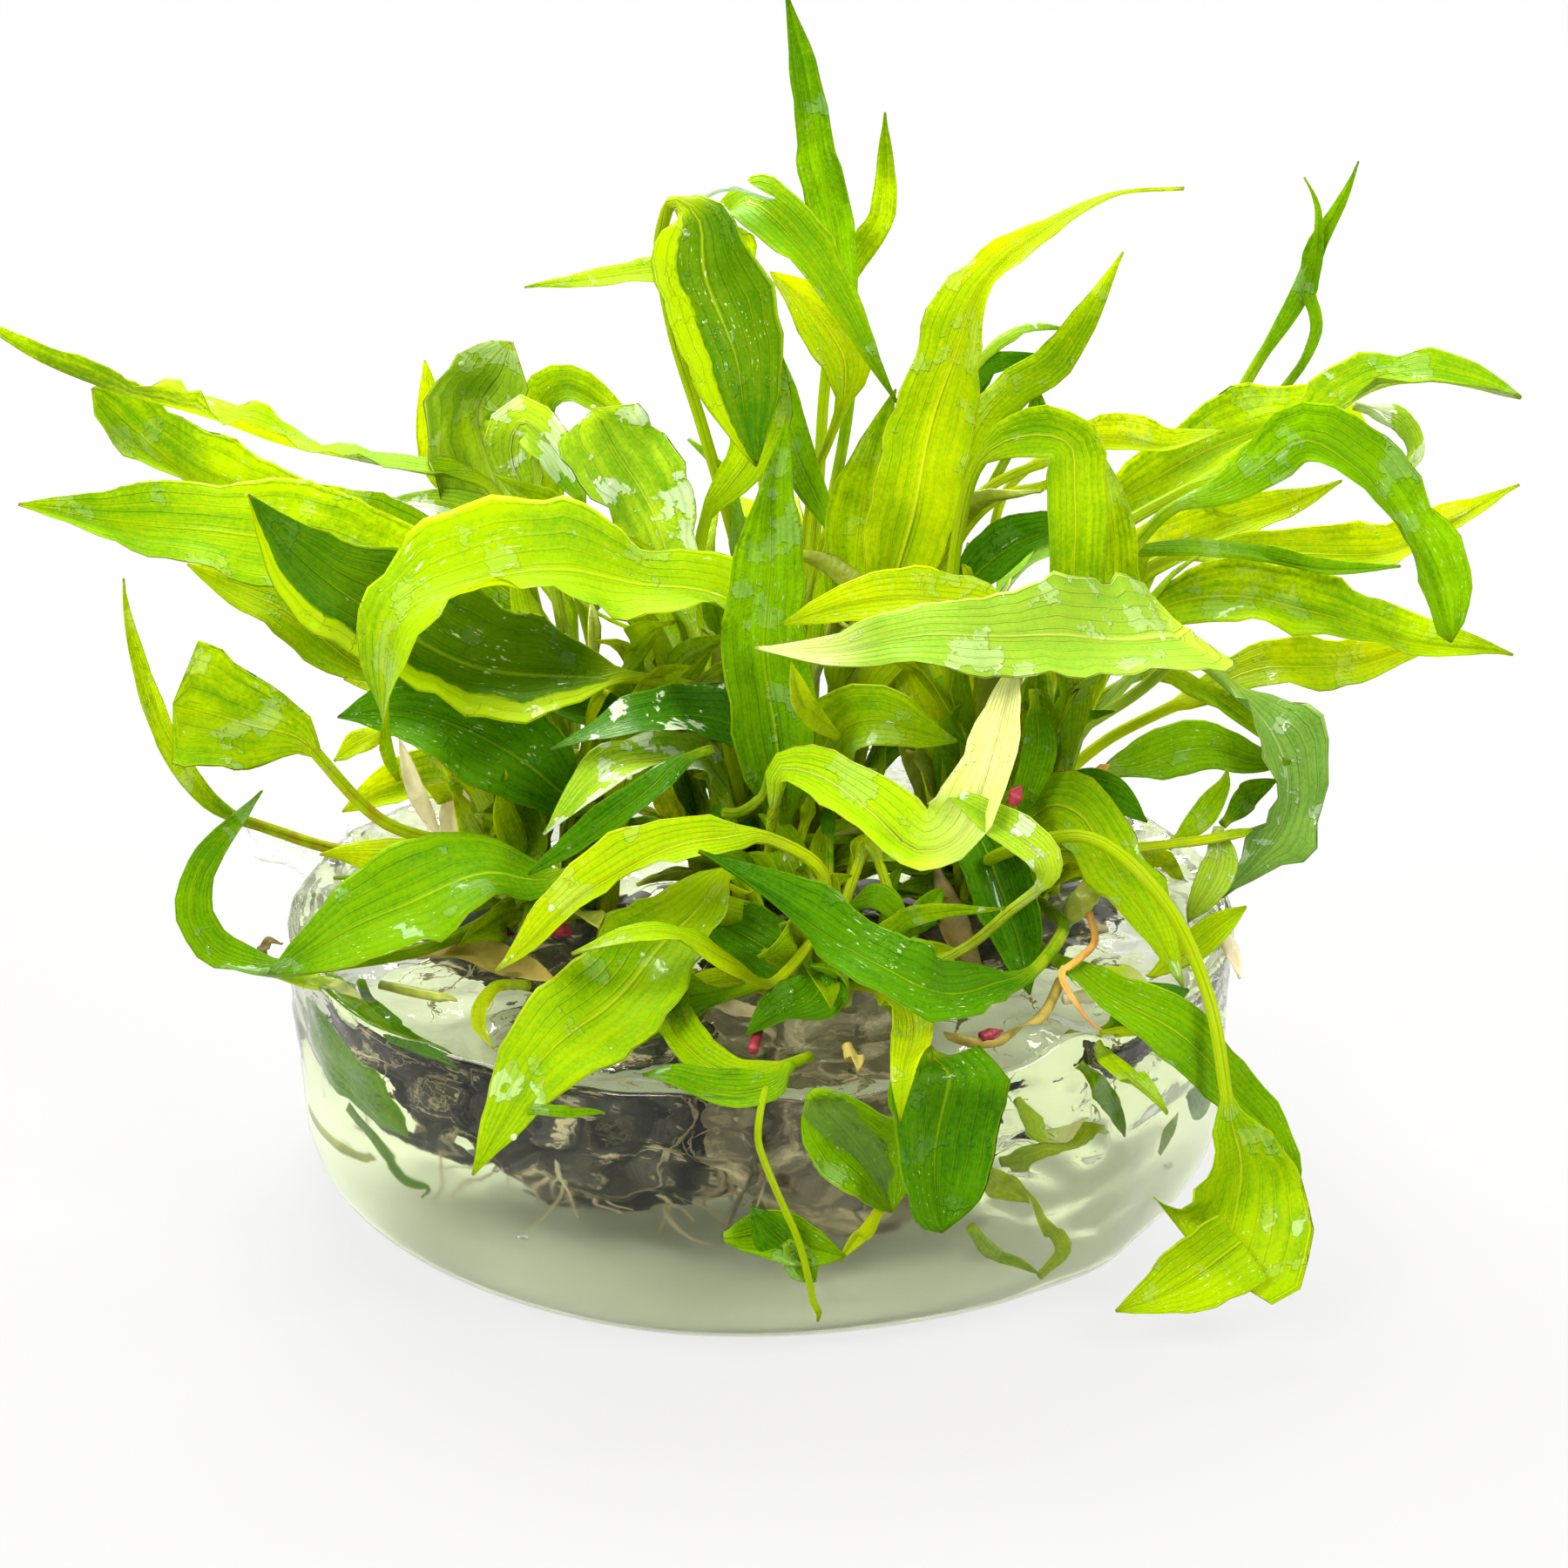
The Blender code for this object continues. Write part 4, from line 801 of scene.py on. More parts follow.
# %% The small pieces
SMALL = """
left
lime 3 0 0,45 : -36,49,-10 -46,56.5,-10 -56,61.8,-10
pale 2 0.2 0,50 : -16,57,-12 -25,65.5,-14 -31,68,-14 -37,68,-14
dark 2.2 0.1 0,50 : -9,42,6 -13,45,5 -19,47.7,4 -24,49.6,3 -29.5,51,2
lime 1.8 0.4 0,20 : -26,58,-22 -30.5,71,-24 -31.8,77,-24 -32,82,-24
fresh 0.8 0 0,30 : -26.5,76.7,-14 -23,76,-13 -20,75,-12
lime 1.6 0 0,40 : -37.5,44.4,-14 -40,43.2,-14 -42.6,41.4,-14
cream 1 0.1 0,20 : -32,32.5,-8 -34.5,38,-10 -36,43.8,-12
lime 3 0.45 0,45 : -18,24,0 -21,31,-10 -27,37.5,-18 -33,39.5,-20 -38,38,-21 -42,36,-22
fresh 1.8 0.1 0,30 : -22.5,29,8 -23,33,6 -24.5,37,4 -27,40,2
straw 2 0.1 0,60 : -36,20.4,16 -31,21,16 -27,19.7,17 -21,17.5,20
lime 0.8 0 0,60 : -23.8,17,22 -27.1,16.9,24 -28.9,14.6,28 -29.3,11.9,32 -27.8,10,36
dark 0.6 0 0,60 : -41,17.3,20 -40.3,15,24 -38,12.6,28 -35,10,33 -31.3,7.9,38
olive 0.5 0.9 0,60 : -39,17,22 -31.3,15.3,26
yellow 0.9 0 0,60 : -50.7,18.6,20 -45,17.2,22 -41,15.4,25
mid 2.6 0 -20,20 : -44.5,16,14 -43,12.5,17 -41,9,20 -38,5,24 -34.5,1.5,28
mid 0.7 0 -20,20 : -40.6,4,22 -38.3,1.3,24 -36.5,-1,25 -34.5,-3.4,26 -32.2,-4.4,28 -33.5,-6,28
olive 0.5 0.9 -20,20 : -46.5,3.5,13 -44,1.3,16 -40,-1,20 -37,-1.3,22
cream 2 0 0,20 : -31.5,26,2 -31.5,30,0 -30.5,37,-1 -30.5,41.5,-2
cream 0.5 0.9 0,20 : -30,33.5,0 -29,34.8,0 -27,34,1 -25.5,32,2 -24.5,29,4
red 1 0 0,60 : -28.6,22.6,12 -27,23.2,12 -25.2,22.6,12
red 0.9 0 0,60 : -21.4,23,14 -19.2,22.8,15
brown 0.5 0 0,40 : -50,18.4,21 -51,20.5,20 -50.2,22.4,20 -48.8,21.6,20
middle
lime 3 0.62 0,30 : 3.5,52,-14 5,69,-18 7.7,77,-19 8.3,82,-20 5.5,86,-22 1,90.5,-24
silver 1.3 0 0,70 : -6.2,97.6,-5 -2.5,98.5,-4 1.4,97.4,-5
dark 1.2 0.55 0,40 : 15,62,-12 17.5,73,-14 21,80,-14 24,81.6,-14 27.4,82.6,-14
pale 0.7 0.6 0,40 : 15.5,66,-12 19,79,-14 24,84.5,-14 26.5,85,-14 29.4,85,-14
mid 1.3 0.7 20,20 : 17,60,-8 22,69,-12 25.6,76.2,-12 26.4,78,-12 26.3,79.8,-12
lime 0.6 0.9 0,40 : 17,62,-4 20.5,68,-4 24,70.6,-5 28.6,72.4,-5
lime 0.6 0.9 0,40 : 17,60,-4 20.5,66,-4 24,68.9,-4 28.6,69.6,-4
dark 2.6 0.3 0,40 : 17,52,-2 20,59.5,-3 24,63,-4 28,65,-4 32.4,66,-5
dark 1.7 0.1 0,50 : -5,42.6,22 -8,41.3,25 -12,38,27 -17,33.7,28 -23.6,29.2,29
lime 1.2 0 0,40 : 7.5,44,20 5,46.5,22 3.8,49,23 3,51.7,23
mid 1.6 0 0,50 : 9,25.6,18 12,26.6,20 15.3,24,21
mid 1.4 0 20,30 : 14,22,24 16,25,24 18.5,27.7,22
lime 0.8 0.9 0,20 : 8.1,25,16 10.8,33.4,12
lime 0.8 0.9 0,20 : 13.5,25.5,16 11,33.6,13
lime 0.8 0.9 0,20 : 2.7,28,14 5.2,38,10
dark 0.8 0.9 0,20 : 6.9,26,15 6.7,37,11
dark 0.7 0.9 0,20 : 0.8,43.5,15 0.5,38.5,16 -2,36,16 -5,36,14
brown 1.6 0 10,20 : 17.6,30,10 19.3,25,12 20.8,20,18 22,15.6,26
red 0.7 0 0,30 : 25.2,36.8,18 26,38.8,18
orange 0.5 0 0,30 : 33.4,40,12 34.8,41,12
pale 1.9 0.55 0,30 : 15,18,22 21,21.3,24 25,25,28 28.7,28.5,31 28.6,31.5,32 25.5,34,31 22,36.3,29 18,38.5,27
dark 3.2 0.1 0,30 : 19.5,31,13 21.5,33.5,17 23.5,29.5,20 25,24.5,22 26.5,19.5,24 27.5,16,26
mid 2.2 0.1 -10,20 : 8.7,61.5,-12 5.5,68.5,-14 3,74.5,-16 0.5,82,-18 -2,89,-20 -4.3,94.4,-22
right
mid 2.8 0.25 0,45 : 29,36,4 34.5,40.2,3 38.5,41.4,2 42,42.5,2 45.5,42.8,2 49,41.7,3 52.9,41.3,3
fresh 1.4 0.3 0,50 : 30,46,-8 38.5,50.6,-9 44,48.3,-8 48.5,45.8,-6 53,42,-5
pale 1.5 0.1 10,40 : 57,77.6,-8 61.5,76,-8 63,72.6,-8 61.2,71.6,-8
mid 1.3 0 0,60 : 34,63,-2 42,63.4,-1 50,62.6,-1 57,61.4,-2 62.5,61.6,-3
lime 0.6 0 0,50 : 41.6,68.6,-12 44.5,67,-12 46.2,66.7,-12
lime 2 0.45 0,45 : 22,60,-14 24,69.5,-16 31.6,74.6,-18 35.5,75.1,-18 39.5,74.2,-18 44.7,75.1,-18
mid 0.7 0 0,20 : 50,79,-32 52,82,-32 53,85.5,-33 52.1,88.5,-33 52.9,92,-33 52.7,96.5,-33 51,99.4,-33
mid 1.7 0.1 0,20 : 27,49,14 27.4,44,15 27,40,16 26.2,35.4,16
dark 2.1 0.1 0,50 : 28,34,14 32,37.6,15 35.5,37.4,16 38.8,34.9,16
grey 1.9 0 20,30 : 46,34.4,8 46,30.5,9 45,27,10 43.4,24,10
fresh 1.3 0.1 10,30 : 41,32.3,10 44,35,8 46.2,38.5,6 46.6,40.6,5
lime 0.7 0.9 0,60 : 28,31.3,20 33,31.5,18 37.5,32.1,14 44.9,33,10 49.4,34.1,8
mid 1.3 0.1 10,30 : 46.4,34.6,6 49,37.5,4 51.7,39.4,3
lime 1.6 0.1 10,40 : 39.6,17.6,20 45,22.5,18 49.2,25.7,16
lime 1.1 0.5 10,30 : 34,30,2 38,31.5,-4 40.3,30.8,-8 43.2,27.1,-6
olive 1.3 0 0,30 : 31,23.6,16 32.6,27,15 34.2,30.4,14
dark 1.7 0.1 10,50 : 35,11.6,32 38.5,14.3,30 41,15.3,29 43.8,16.5,28
lime 1 0.1 10,60 : 35,11.4,33 39,12.2,34 43,13,32 46,12.3,30 46.6,10.6,30
fresh 1.3 0 20,50 : 34,10.4,34 38,6.2,38 42.2,2.5,41
mid 1.1 0 20,30 : 31.3,8.6,33 34.5,5.2,33 37.4,0,32
lime 1.3 0 10,30 : 24.3,-2.4,38 28,-1.6,37 31.5,0,36 35.2,0.6,33
fresh 0.7 0 0,20 : 21.5,-10.4,41 23.5,-13,40 27,-14.6,39 29.2,-16,38
lime 0.9 0 10,20 : 29.2,-16.2,38 31.3,-12.5,36 29.4,-8.8,37 27.4,-6.2,38
lime 1.4 0 10,20 : 22.8,-3.8,41 25,-6,40 27.8,-7.8,39
yellow 0.9 0 10,40 : 26,4.4,38 28,1.6,37 30.5,1,36 33.2,2.2,35
mid 1.7 0 20,30 : 41.4,5.6,18 44,4.4,17 46.4,5.2,15
grey 0.8 0 20,20 : 40.3,-1.8,26 42.6,2.8,24
straw 0.5 0.9 0,50 : 30.6,17.5,26 29,13.8,31 26.2,11.6,35 23.2,10.5,38 20.3,11,37 18.8,11.7,36
orange 0.36 0 0,30 : 33.3,25,22 34,22,24 32.5,20,26 31,18.6,28 31.2,17,30 32.3,15,31 33.7,13,32 35,12,33
yellow 1.2 0 0,50 : 33.3,18.8,24 36,17.6,25 39.6,16.9,24
cream 0.8 0 0,50 : 31,15.4,28 34,15.9,27 37.2,16,27
cream 0.8 0 10,30 : 46.6,23.4,15 48.2,20.4,17 49,17.8,19
red 0.6 0 0,50 : 22.6,11.2,38 24.8,11.9,37
fresh 3.7 -0.6 0,30 : 50.5,-12.5,42.2 46.6,-15.9,42.8 42.2,-18.6,43.5 37.6,-20.8,44
front
lime 1.6 0.35 0,60 : 6,23,26 1,17.2,33 -2.8,19.1,37 -8,22,39 -13,22.5,41 -19.4,20.5,42
dark 3.2 0.1 0,40 : 6.5,16.6,28 2,20,26 -2,22.6,24 -6.4,25.2,21
fresh 2 0.1 0,50 : 5,9,40 1,7.6,43 -3,7.2,44 -6.5,9,42 -9,12.5,38 -9.4,15.5,32 -8,18,28 -6.6,18.7,26
mid 1.8 0.1 0,50 : 3,8,42 1,5.6,46 -2.5,4.6,47 -6,5.5,46 -9,6.8,44 -12.3,6.9,43
mid 0.6 0 0,60 : -24.3,3,48.3 -20,2.7,48.8 -16.3,2.5,49
mid 3.9 0 0,20 : 5,5,46.4 8.5,0.5,47 12,-4,46.6 13.6,-9,46
mid 2.2 0 0,15 : -4,-12,47.4 1,-11.6,47.8 5,-13,47.8 8.8,-14.2,47.2
dark 1.8 0 0,15 : 4,-14.5,48 1,-11,48.2 -1.2,-8.2,48
mid 1.5 0 0,15 : 2.5,-12.5,48.2 4.5,-15.2,48.2 5.6,-17.2,48
lime 0.7 0 0,20 : 12.4,-8.6,46.4 10.8,-11.6,46.8 8.3,-14.9,47.2
fresh 0.33 0.97 0,20 : 0.6,6.5,44.5 0,3.4,48 -0.4,-0.7,48.8 1.7,-7,49 4,-13,49 5.9,-22,48.6
cream 0.8 0 0,50 : -4.9,15.2,28 -1,14,31 0.9,15,31
red 0.5 0 0,50 : -0.9,9.7,39 0,13.4,34
straw 0.7 0 10,30 : 8.8,10.2,39 9.9,7.2,42
"""


SMALL_SEED = 500


def small_leaf(half_width, start, face, points):
    """Rings, shares and form of a small leaf that runs through points as they are seen from the front."""
    curve, length = smooth_path([seen(point) for point in points])
    at = np.linspace(0, length[-1], max(4, 2 * len(points)))
    return (on_curve(at, curve, length), blade_shares(at / length[-1], start, 1),
            blade(half_width, start, face, None, 0.7, 0.9))


groups, total = {}, 0
for finish, *words in table(SMALL):
    if not words:
        skins, looks = groups["small_leaves_" + finish] = [], []
        continue
    points = [value(word) for word in words[4:]]
    half_width, start, face = map(value, words[:3])
    skins.append(fine_leaf(*small_leaf(half_width, start, face, points), SMALL_SEED + total, fold=0.5,
                           stalk=min(0.5, half_width), rings=10 + 3 * len(points)))
    looks.append(finishes[finish])
    total += 1
for name, (skins, looks) in groups.items():
    piece = skin_object(name, skins, looks)
    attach(piece, "root")
print(total, "small pieces placed by hand")

# %% [markdown]
# ### Young leaves
# New leaves rise between the old ones from every crown. They follow a simple rule, so they are grown by a
# loop with a fixed seed: each leans out from its crown by a random amount, bends over a little, and is narrow.
# One in three stays low and reaches forward over the gel. A crown's row gives their count, the height of its
# tallest and the half width of its widest.

# %% Young leaves
YOUNG = {"left": (46, 36, 3.0), "middle": (70, 46, 3.4), "right": (48, 38, 3.0), "front": (26, 15, 2.2)}
YOUNG_SEED = 900
YOUNG_TONES = ("lime", "fresh", "mid", "lime", "lime", "fresh", "olive")
RISE = np.array([0, 0.35, 0.7, 0.92, 1.0])
REACH = np.array([0, 0.1, 0.4, 0.75, 1.1])
YOUNG_SHARES = np.array([0, 0.35, 0.7, 0.88, 1.0])
rng = np.random.default_rng(7)
for crown, (centre, radius) in CROWNS.items():
    count, tallest, widest = YOUNG[crown]
    skins, looks = [], []
    for number in range(count):
        turn = rng.uniform(0, 2 * math.pi)
        tall = tallest * rng.uniform(0.25, 1.0)
        lean = rng.uniform(0.1, 0.6) * tall
        if number % 3 == 0:
            turn = rng.uniform(-0.95 * math.pi, -0.05 * math.pi)
            tall = rng.uniform(4, 11)
            lean = rng.uniform(8, 17)
        out = np.array([math.cos(turn), math.sin(turn), 0])
        aside = np.array([-out[1], out[0], 0]) * rng.uniform(-0.25, 0.25) * tall
        foot = np.array([*centre, GEL_HEIGHT]) + out * radius * rng.uniform(0.1, 0.8)
        middle = foot + out * (REACH * lean)[:, None] + aside * (REACH ** 2)[:, None] + \
            np.array([0, 0, 1]) * (RISE * tall)[:, None]
        start = rng.uniform(0.3, 0.55)
        form = blade(widest * rng.uniform(0.35, 1.0), start, (
            math.degrees(math.atan2(out[0], -out[1])) + rng.uniform(-40, 40), rng.uniform(5, 60)))
        share = blade_shares(YOUNG_SHARES, start, 1)
        skins.append(fine_leaf(middle, share, form, YOUNG_SEED + number, fold=0.45, stalk=0.55, rings=20))
        looks.append(finishes[YOUNG_TONES[rng.integers(len(YOUNG_TONES))]])
    piece = skin_object("young_leaves_" + crown, skins, looks)
    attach(piece, "root")
    print(crown, "has", count, "young leaves")

# %% [markdown]
# ## The gel
# The gel is clear, wet and a little wavy: its wall took the print of the cup, its bottom edge is round, and
# its top is lumpy where the plants stand. It is turned like a pot, and then each point is moved: by noise, by
# a ridge where the gel was torn at the front right, and by a swelling round each crown. Glass-like
# transmission with the refraction of water, and a faint olive absorption, do the rest.

# %% Gel
GEL_SIDES = 256
# Bulges of the torn wall: how far across and how high they are, how wide and how tall
TEAR = ((31.5, 8.0, 4.2, 3.2), (27.0, 22.0, 2.6, 1.4), (28.5, 14.0, 3.0, 1.5))


def lumps(x, y, z, size):
    """Noise at a place."""
    return noise.noise(Vector((x, y, z))) * size


def turned_mesh(name, rings):
    """A closed mesh through rings of points in millimetres, from the top down."""
    around = len(rings[0])
    faces = []
    for start in range(0, (len(rings) - 1) * around, around):
        for k in range(around):
            right = (k + 1) % around
            faces.append((start + k, start + around + k, start + around + right, start + right))
    faces += [range(around), range((len(rings) - 1) * around, len(rings) * around)]
    return closed_mesh(name, [Vector(point) * MM for ring in rings for point in ring], faces)


def gel_profile():
    """The puck's profile from the middle of the top down to the middle of the underside: radius, height."""
    rows = [(GEL_TOP_RADIUS * share, GEL_HEIGHT) for share in np.linspace(0.03, 0.97, 40)]
    rows += [(GEL_TOP_RADIUS + out, GEL_HEIGHT + up)
             for out, up in ((-0.8, 0.1), (-0.25, 0.25), (0, -0.1), (0.05, -0.6))]
    wall = np.linspace(GEL_HEIGHT - 1.2, GEL_EDGE_ROUND, 24)
    rows += [(GEL_FOOT_RADIUS + (GEL_TOP_RADIUS - GEL_FOOT_RADIUS) * z / GEL_HEIGHT, z) for z in wall]
    rows += [(GEL_FOOT_RADIUS - GEL_EDGE_ROUND * (1 - math.cos(angle)), GEL_EDGE_ROUND * (1 - math.sin(angle)))
             for angle in np.radians(np.linspace(7, 90, 13))]
    return rows + [(GEL_FOOT_RADIUS * share, 0.0) for share in (0.6, 0.3, 0.03)]


def gel_point(x, y, z):
    """A point of the puck, moved by its waves, its tear and its swellings."""
    if z > GEL_HEIGHT - 0.5:
        far = min(1.0, max(0.0, (math.hypot(x, y) / GEL_TOP_RADIUS - 0.9) * 10))
        lump = lumps(x * 0.09, y * 0.09, 3.1, 1.1) + lumps(x * 0.31, y * 0.31, 7.7, 0.6)
        z += lump * (1 - 0.5 * far) + 0.3 * far
        for centre, radius in CROWNS.values():
            away = math.hypot(x - centre[0], y - centre[1]) - radius
            z += math.exp(-(away / 3.5) ** 2)
        ridge = math.exp(-((x - 26) / 6.5) ** 2 - ((y + 36.5 + 0.18 * (x - 26)) / 3.2) ** 2)
        return x, y, z + 2.6 * ridge
    upper = min(1.0, max(0.0, (z - 9) / 10))
    wobble = lumps(x * 0.05, y * 0.05, z * 0.12, 0.35)
    wobble += lumps(x * 0.2, y * 0.2, z * 0.35, 0.5) * upper
    wobble += lumps(x * 0.5, y * 0.5, z * 0.6, 0.16) * upper
    if y < 0:
        for over, height, wide, tall in TEAR:
            wobble += 1.3 * math.exp(-((x - over) / wide) ** 2 - ((z - height) / (3 * tall)) ** 2)
        torn = math.exp(-((x - 27) / 8) ** 2 - ((z - 16) / 8) ** 2)
        wobble += torn * (lumps(x * 0.35, 2.0, z * 0.35, 2.0) + lumps(x * 0.9, 4.0, z * 0.8, 0.7))
    share = 1 + wobble / GEL_TOP_RADIUS
    return x * share, y * share, z


g = Finish("clear_gel")
crinkled = g.step(g.parts(g.here())[2], 0.012, 0.024)
ripple = (g.noise(110, 2.0) * 0.6 + g.noise(420, 2.0) * 0.16) * (crinkled * 0.92 + 0.08)
clear_gel = g.end(
    g.skin(Base_Color=(0.97, 0.985, 0.95), Roughness=0.16 - crinkled * 0.14, IOR=1.34, Transmission_Weight=1.0,
           Normal=g.bump(0.5, 0.0012, ripple)),
    g.node("ShaderNodeVolumeAbsorption", None, {"Color": (0.42, 0.50, 0.10), "Density": 9.5}))
u = Finish("gel_underside")
cloud = u.step(u.noise(60, 3.0), 0.3, 0.7)
gel_underside = u.end(u.skin(Base_Color=u.mix(cloud, (0.77, 0.79, 0.66), (0.84, 0.86, 0.74)),
                             Roughness=0.7 + cloud * 0.1, Specular_IOR_Level=0.0))

turns = [2 * math.pi * k / GEL_SIDES for k in range(GEL_SIDES)]
gel = add_object("gel", turned_mesh("gel", [
    [gel_point(radius * math.cos(turn), radius * math.sin(turn), height) for turn in turns]
    for radius, height in gel_profile()]))
gel.data.materials.append(clear_gel)
gel.data.materials.append(gel_underside)
for face in gel.data.polygons:
    face.material_index = int(face.center.z < 0.00005)
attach(gel, "root")
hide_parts("gel_puck")
print("gel with", len(gel.data.polygons), "faces")

# %% [markdown]
# ### Root balls
# Under each crown the roots form a dark, folded ball that the gel encloses. Seen through the wall it is grey
# and brown with cream folds. A turned, lumpy body stands for it, and its folds are noise that is squeezed
# upright, both in the form and in the bump.

# %% Root balls
ROOT_FOLD = (0.72, 0.60, 0.38)
ROOT_CROWN = (0.20, 0.20, 0.05)
BALL_BOTTOM = {"left": 6.0, "middle": 10.0, "right": 13.0, "front": 4.5}
BALL_SIDES = 72
MATTED = (-11.5, -14.0)


def root_finish(name, shadow, body):
    """Roots between a shadow colour and a body colour, with cream folds."""
    f = Finish(name)
    fold = f.noise(210, 5.0, 0.65, (0.8, 0.8, 1.2), 1.2)
    thread = f.noise(700, 2.0, 0.6, (0.6, 0.6, 1.6), 0.8)
    colour = f.mix(f.step(fold, 0.42, 0.60), shadow, body)
    colour = f.mix(f.step(fold * 0.6 + thread * 0.4, 0.54, 0.62), colour, ROOT_FOLD)
    crown = f.step(f.parts(f.here())[2] + fold * 0.003, 0.0265, 0.0285)
    return f.end(f.skin(Base_Color=f.mix(crown * 0.85, colour, ROOT_CROWN), Roughness=0.45 + thread * 0.2,
                        Normal=f.bump(0.9, 0.0008, fold * 0.7 + thread * 0.3)))


def root_ball(name, centre, radius, bottom, finish, top=GEL_HEIGHT + 0.7, stretch=1.0):
    """A lumpy body from the crown above the gel down to its lowest roots."""
    rows = [(0.05, 1.0), (0.35, 0.98), (0.6, 0.93), (0.8, 0.86)]
    rows += [(0.92 + 0.18 * math.sin(math.pi * share) - 0.25 * share ** 3, 0.8 - 0.72 * share)
             for share in np.linspace(0, 1, 22)]
    rings = []
    for wide, high in rows + [(0.72, 0.04), (0.45, 0.01), (0.05, 0.0)]:
        z = bottom + (top - bottom) * high
        ring = []
        for k in range(BALL_SIDES):
            turn = 2 * math.pi * k / BALL_SIDES
            x, y = math.cos(turn), math.sin(turn)
            lump = lumps(x * 1.5, y * 1.5, z * 0.28 + radius, 0.34) + lumps(x * 3.5, y * 3.5, z * 0.7, 0.26)
            reach = radius * wide * (1 + lump * min(1, wide))
            ring.append((centre[0] + stretch * reach * x, centre[1] + reach * y, z + 2.2 * lump * high))
        rings.append(ring)
    made = add_object(name + "_roots", turned_mesh(name + "_roots", rings))
    made.data.materials.append(finish)
    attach(made, "root")
    return made


roots_dark = root_finish("roots_dark", (0.026, 0.025, 0.02), (0.10, 0.09, 0.06))
roots_tan = root_finish("roots_tan", (0.16, 0.13, 0.07), (0.48, 0.40, 0.24))
for crown, (centre, radius) in CROWNS.items():
    name = "rootstock_" + crown
    ball = root_ball(name, centre, radius, BALL_BOTTOM[crown], roots_tan if crown == "front" else roots_dark)
    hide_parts(name)
root_ball("matted", MATTED, 7.0, 4.4, roots_dark, top=21.0, stretch=1.45)

# %% [markdown]
# ## Geometry Nodes
# What repeats by a rule is grown by Geometry Nodes: root threads, bubbles and water drops. A small class adds
# the group's named inputs to a graph. When a tree is done, its result becomes a plain mesh and the modifier
# goes.

# %% Node tree helper
class Growth(Graph):
    """A geometry node tree with named inputs."""

    def __init__(self, name, inputs):
        self.name = name
        super().__init__(bpy.data.node_groups.new(name + "_tree", "GeometryNodeTree"))
        self.tree.is_modifier = True
        self.values = {}
        for way in ("INPUT", "OUTPUT"):
            self.tree.interface.new_socket("Geometry", in_out=way, socket_type="NodeSocketGeometry")
        for key, given in inputs.items():
            kind = {bpy.types.Material: "Material", int: "Int"}.get(type(given), "Float")
            socket = self.tree.interface.new_socket(key, in_out="INPUT", socket_type="NodeSocket" + kind)
            self.values[socket.identifier] = given
        self.entry = self.tree.nodes.new("NodeGroupInput")
        self.exit = self.tree.nodes.new("NodeGroupOutput")

    def take(self, key):
        """The wire from a named input."""
        return Wire(self, self.entry.outputs[key])

    def chance(self, low, high, salt):
        """A random number for each point; the group's seed and a salt fix it."""
        seed = self.take("Seed") + float(salt)
        return self.node("FunctionNodeRandomValue", {"data_type": "FLOAT"},
                         {2: low, 3: high, "Seed": seed}, 1)

    def disc(self, inner, radius):
        """A random place on a disc: how far it is turned, and how far across and back it lies."""
        turn = self.chance(0.0, 2 * math.pi, 1)
        reach = self.maths("SQRT", self.chance(inner, 1.0, 2)) * radius
        return turn, reach * self.maths("COSINE", turn), reach * self.maths("SINE", turn)

    def copies(self, thing, points, scale, **turned):
        """A copy of a thing on each point."""
        return self.node("GeometryNodeInstanceOnPoints", None,
                         {"Points": points, "Instance": thing, "Scale": scale, **turned})

    def beads(self, points, wide, flat, **turned):
        """Beads of random size on points, wide along one way and flat along another."""
        bead = self.node("GeometryNodeMeshIcoSphere", None, {"Radius": 1.0, "Subdivisions": 2})
        size = self.chance(self.take("Smallest"), self.take("Largest"), 4)
        return self.copies(bead, points, self.vector(size * wide, size, size * flat), **turned)

    def grow(self, geometry, slot, base=None):
        """Ends the tree, runs it on a base mesh and adds the result as a plain mesh object."""
        whole = self.node("GeometryNodeRealizeInstances", None, {0: geometry})
        done = self.node("GeometryNodeSetMaterial", None, {"Geometry": whole, "Material": self.take("Finish")})
        self.tree.links.new(done.socket, self.exit.inputs[0])
        holder = add_object(self.name, base or bpy.data.meshes.new(self.name + "_start"))
        modifier = holder.modifiers.new("growth", "NODES")
        modifier.node_group = self.tree
        for key, given in self.values.items():
            modifier[key] = given
        bpy.context.view_layer.update()
        ready = holder.evaluated_get(bpy.context.evaluated_depsgraph_get())
        mesh = bpy.data.meshes.new_from_object(ready)
        holder.modifiers.remove(modifier)
        bpy.data.objects.remove(holder)
        mesh.name = self.name
        mesh.shade_smooth()
        made = add_object(self.name, mesh)
        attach(made, "root")
        print(self.name, "has", len(mesh.polygons), "faces")


# %% [markdown]
# ### Root threads
# From each ball, thin roots wander down and out through the gel. A straight line, bent by noise, is set on
# scattered points under the crown and tilted outwards. Then it becomes a thin tube that narrows to its end.

# %% Root threads
WANDER = 0.011
LOWEST_THREAD = 0.0016


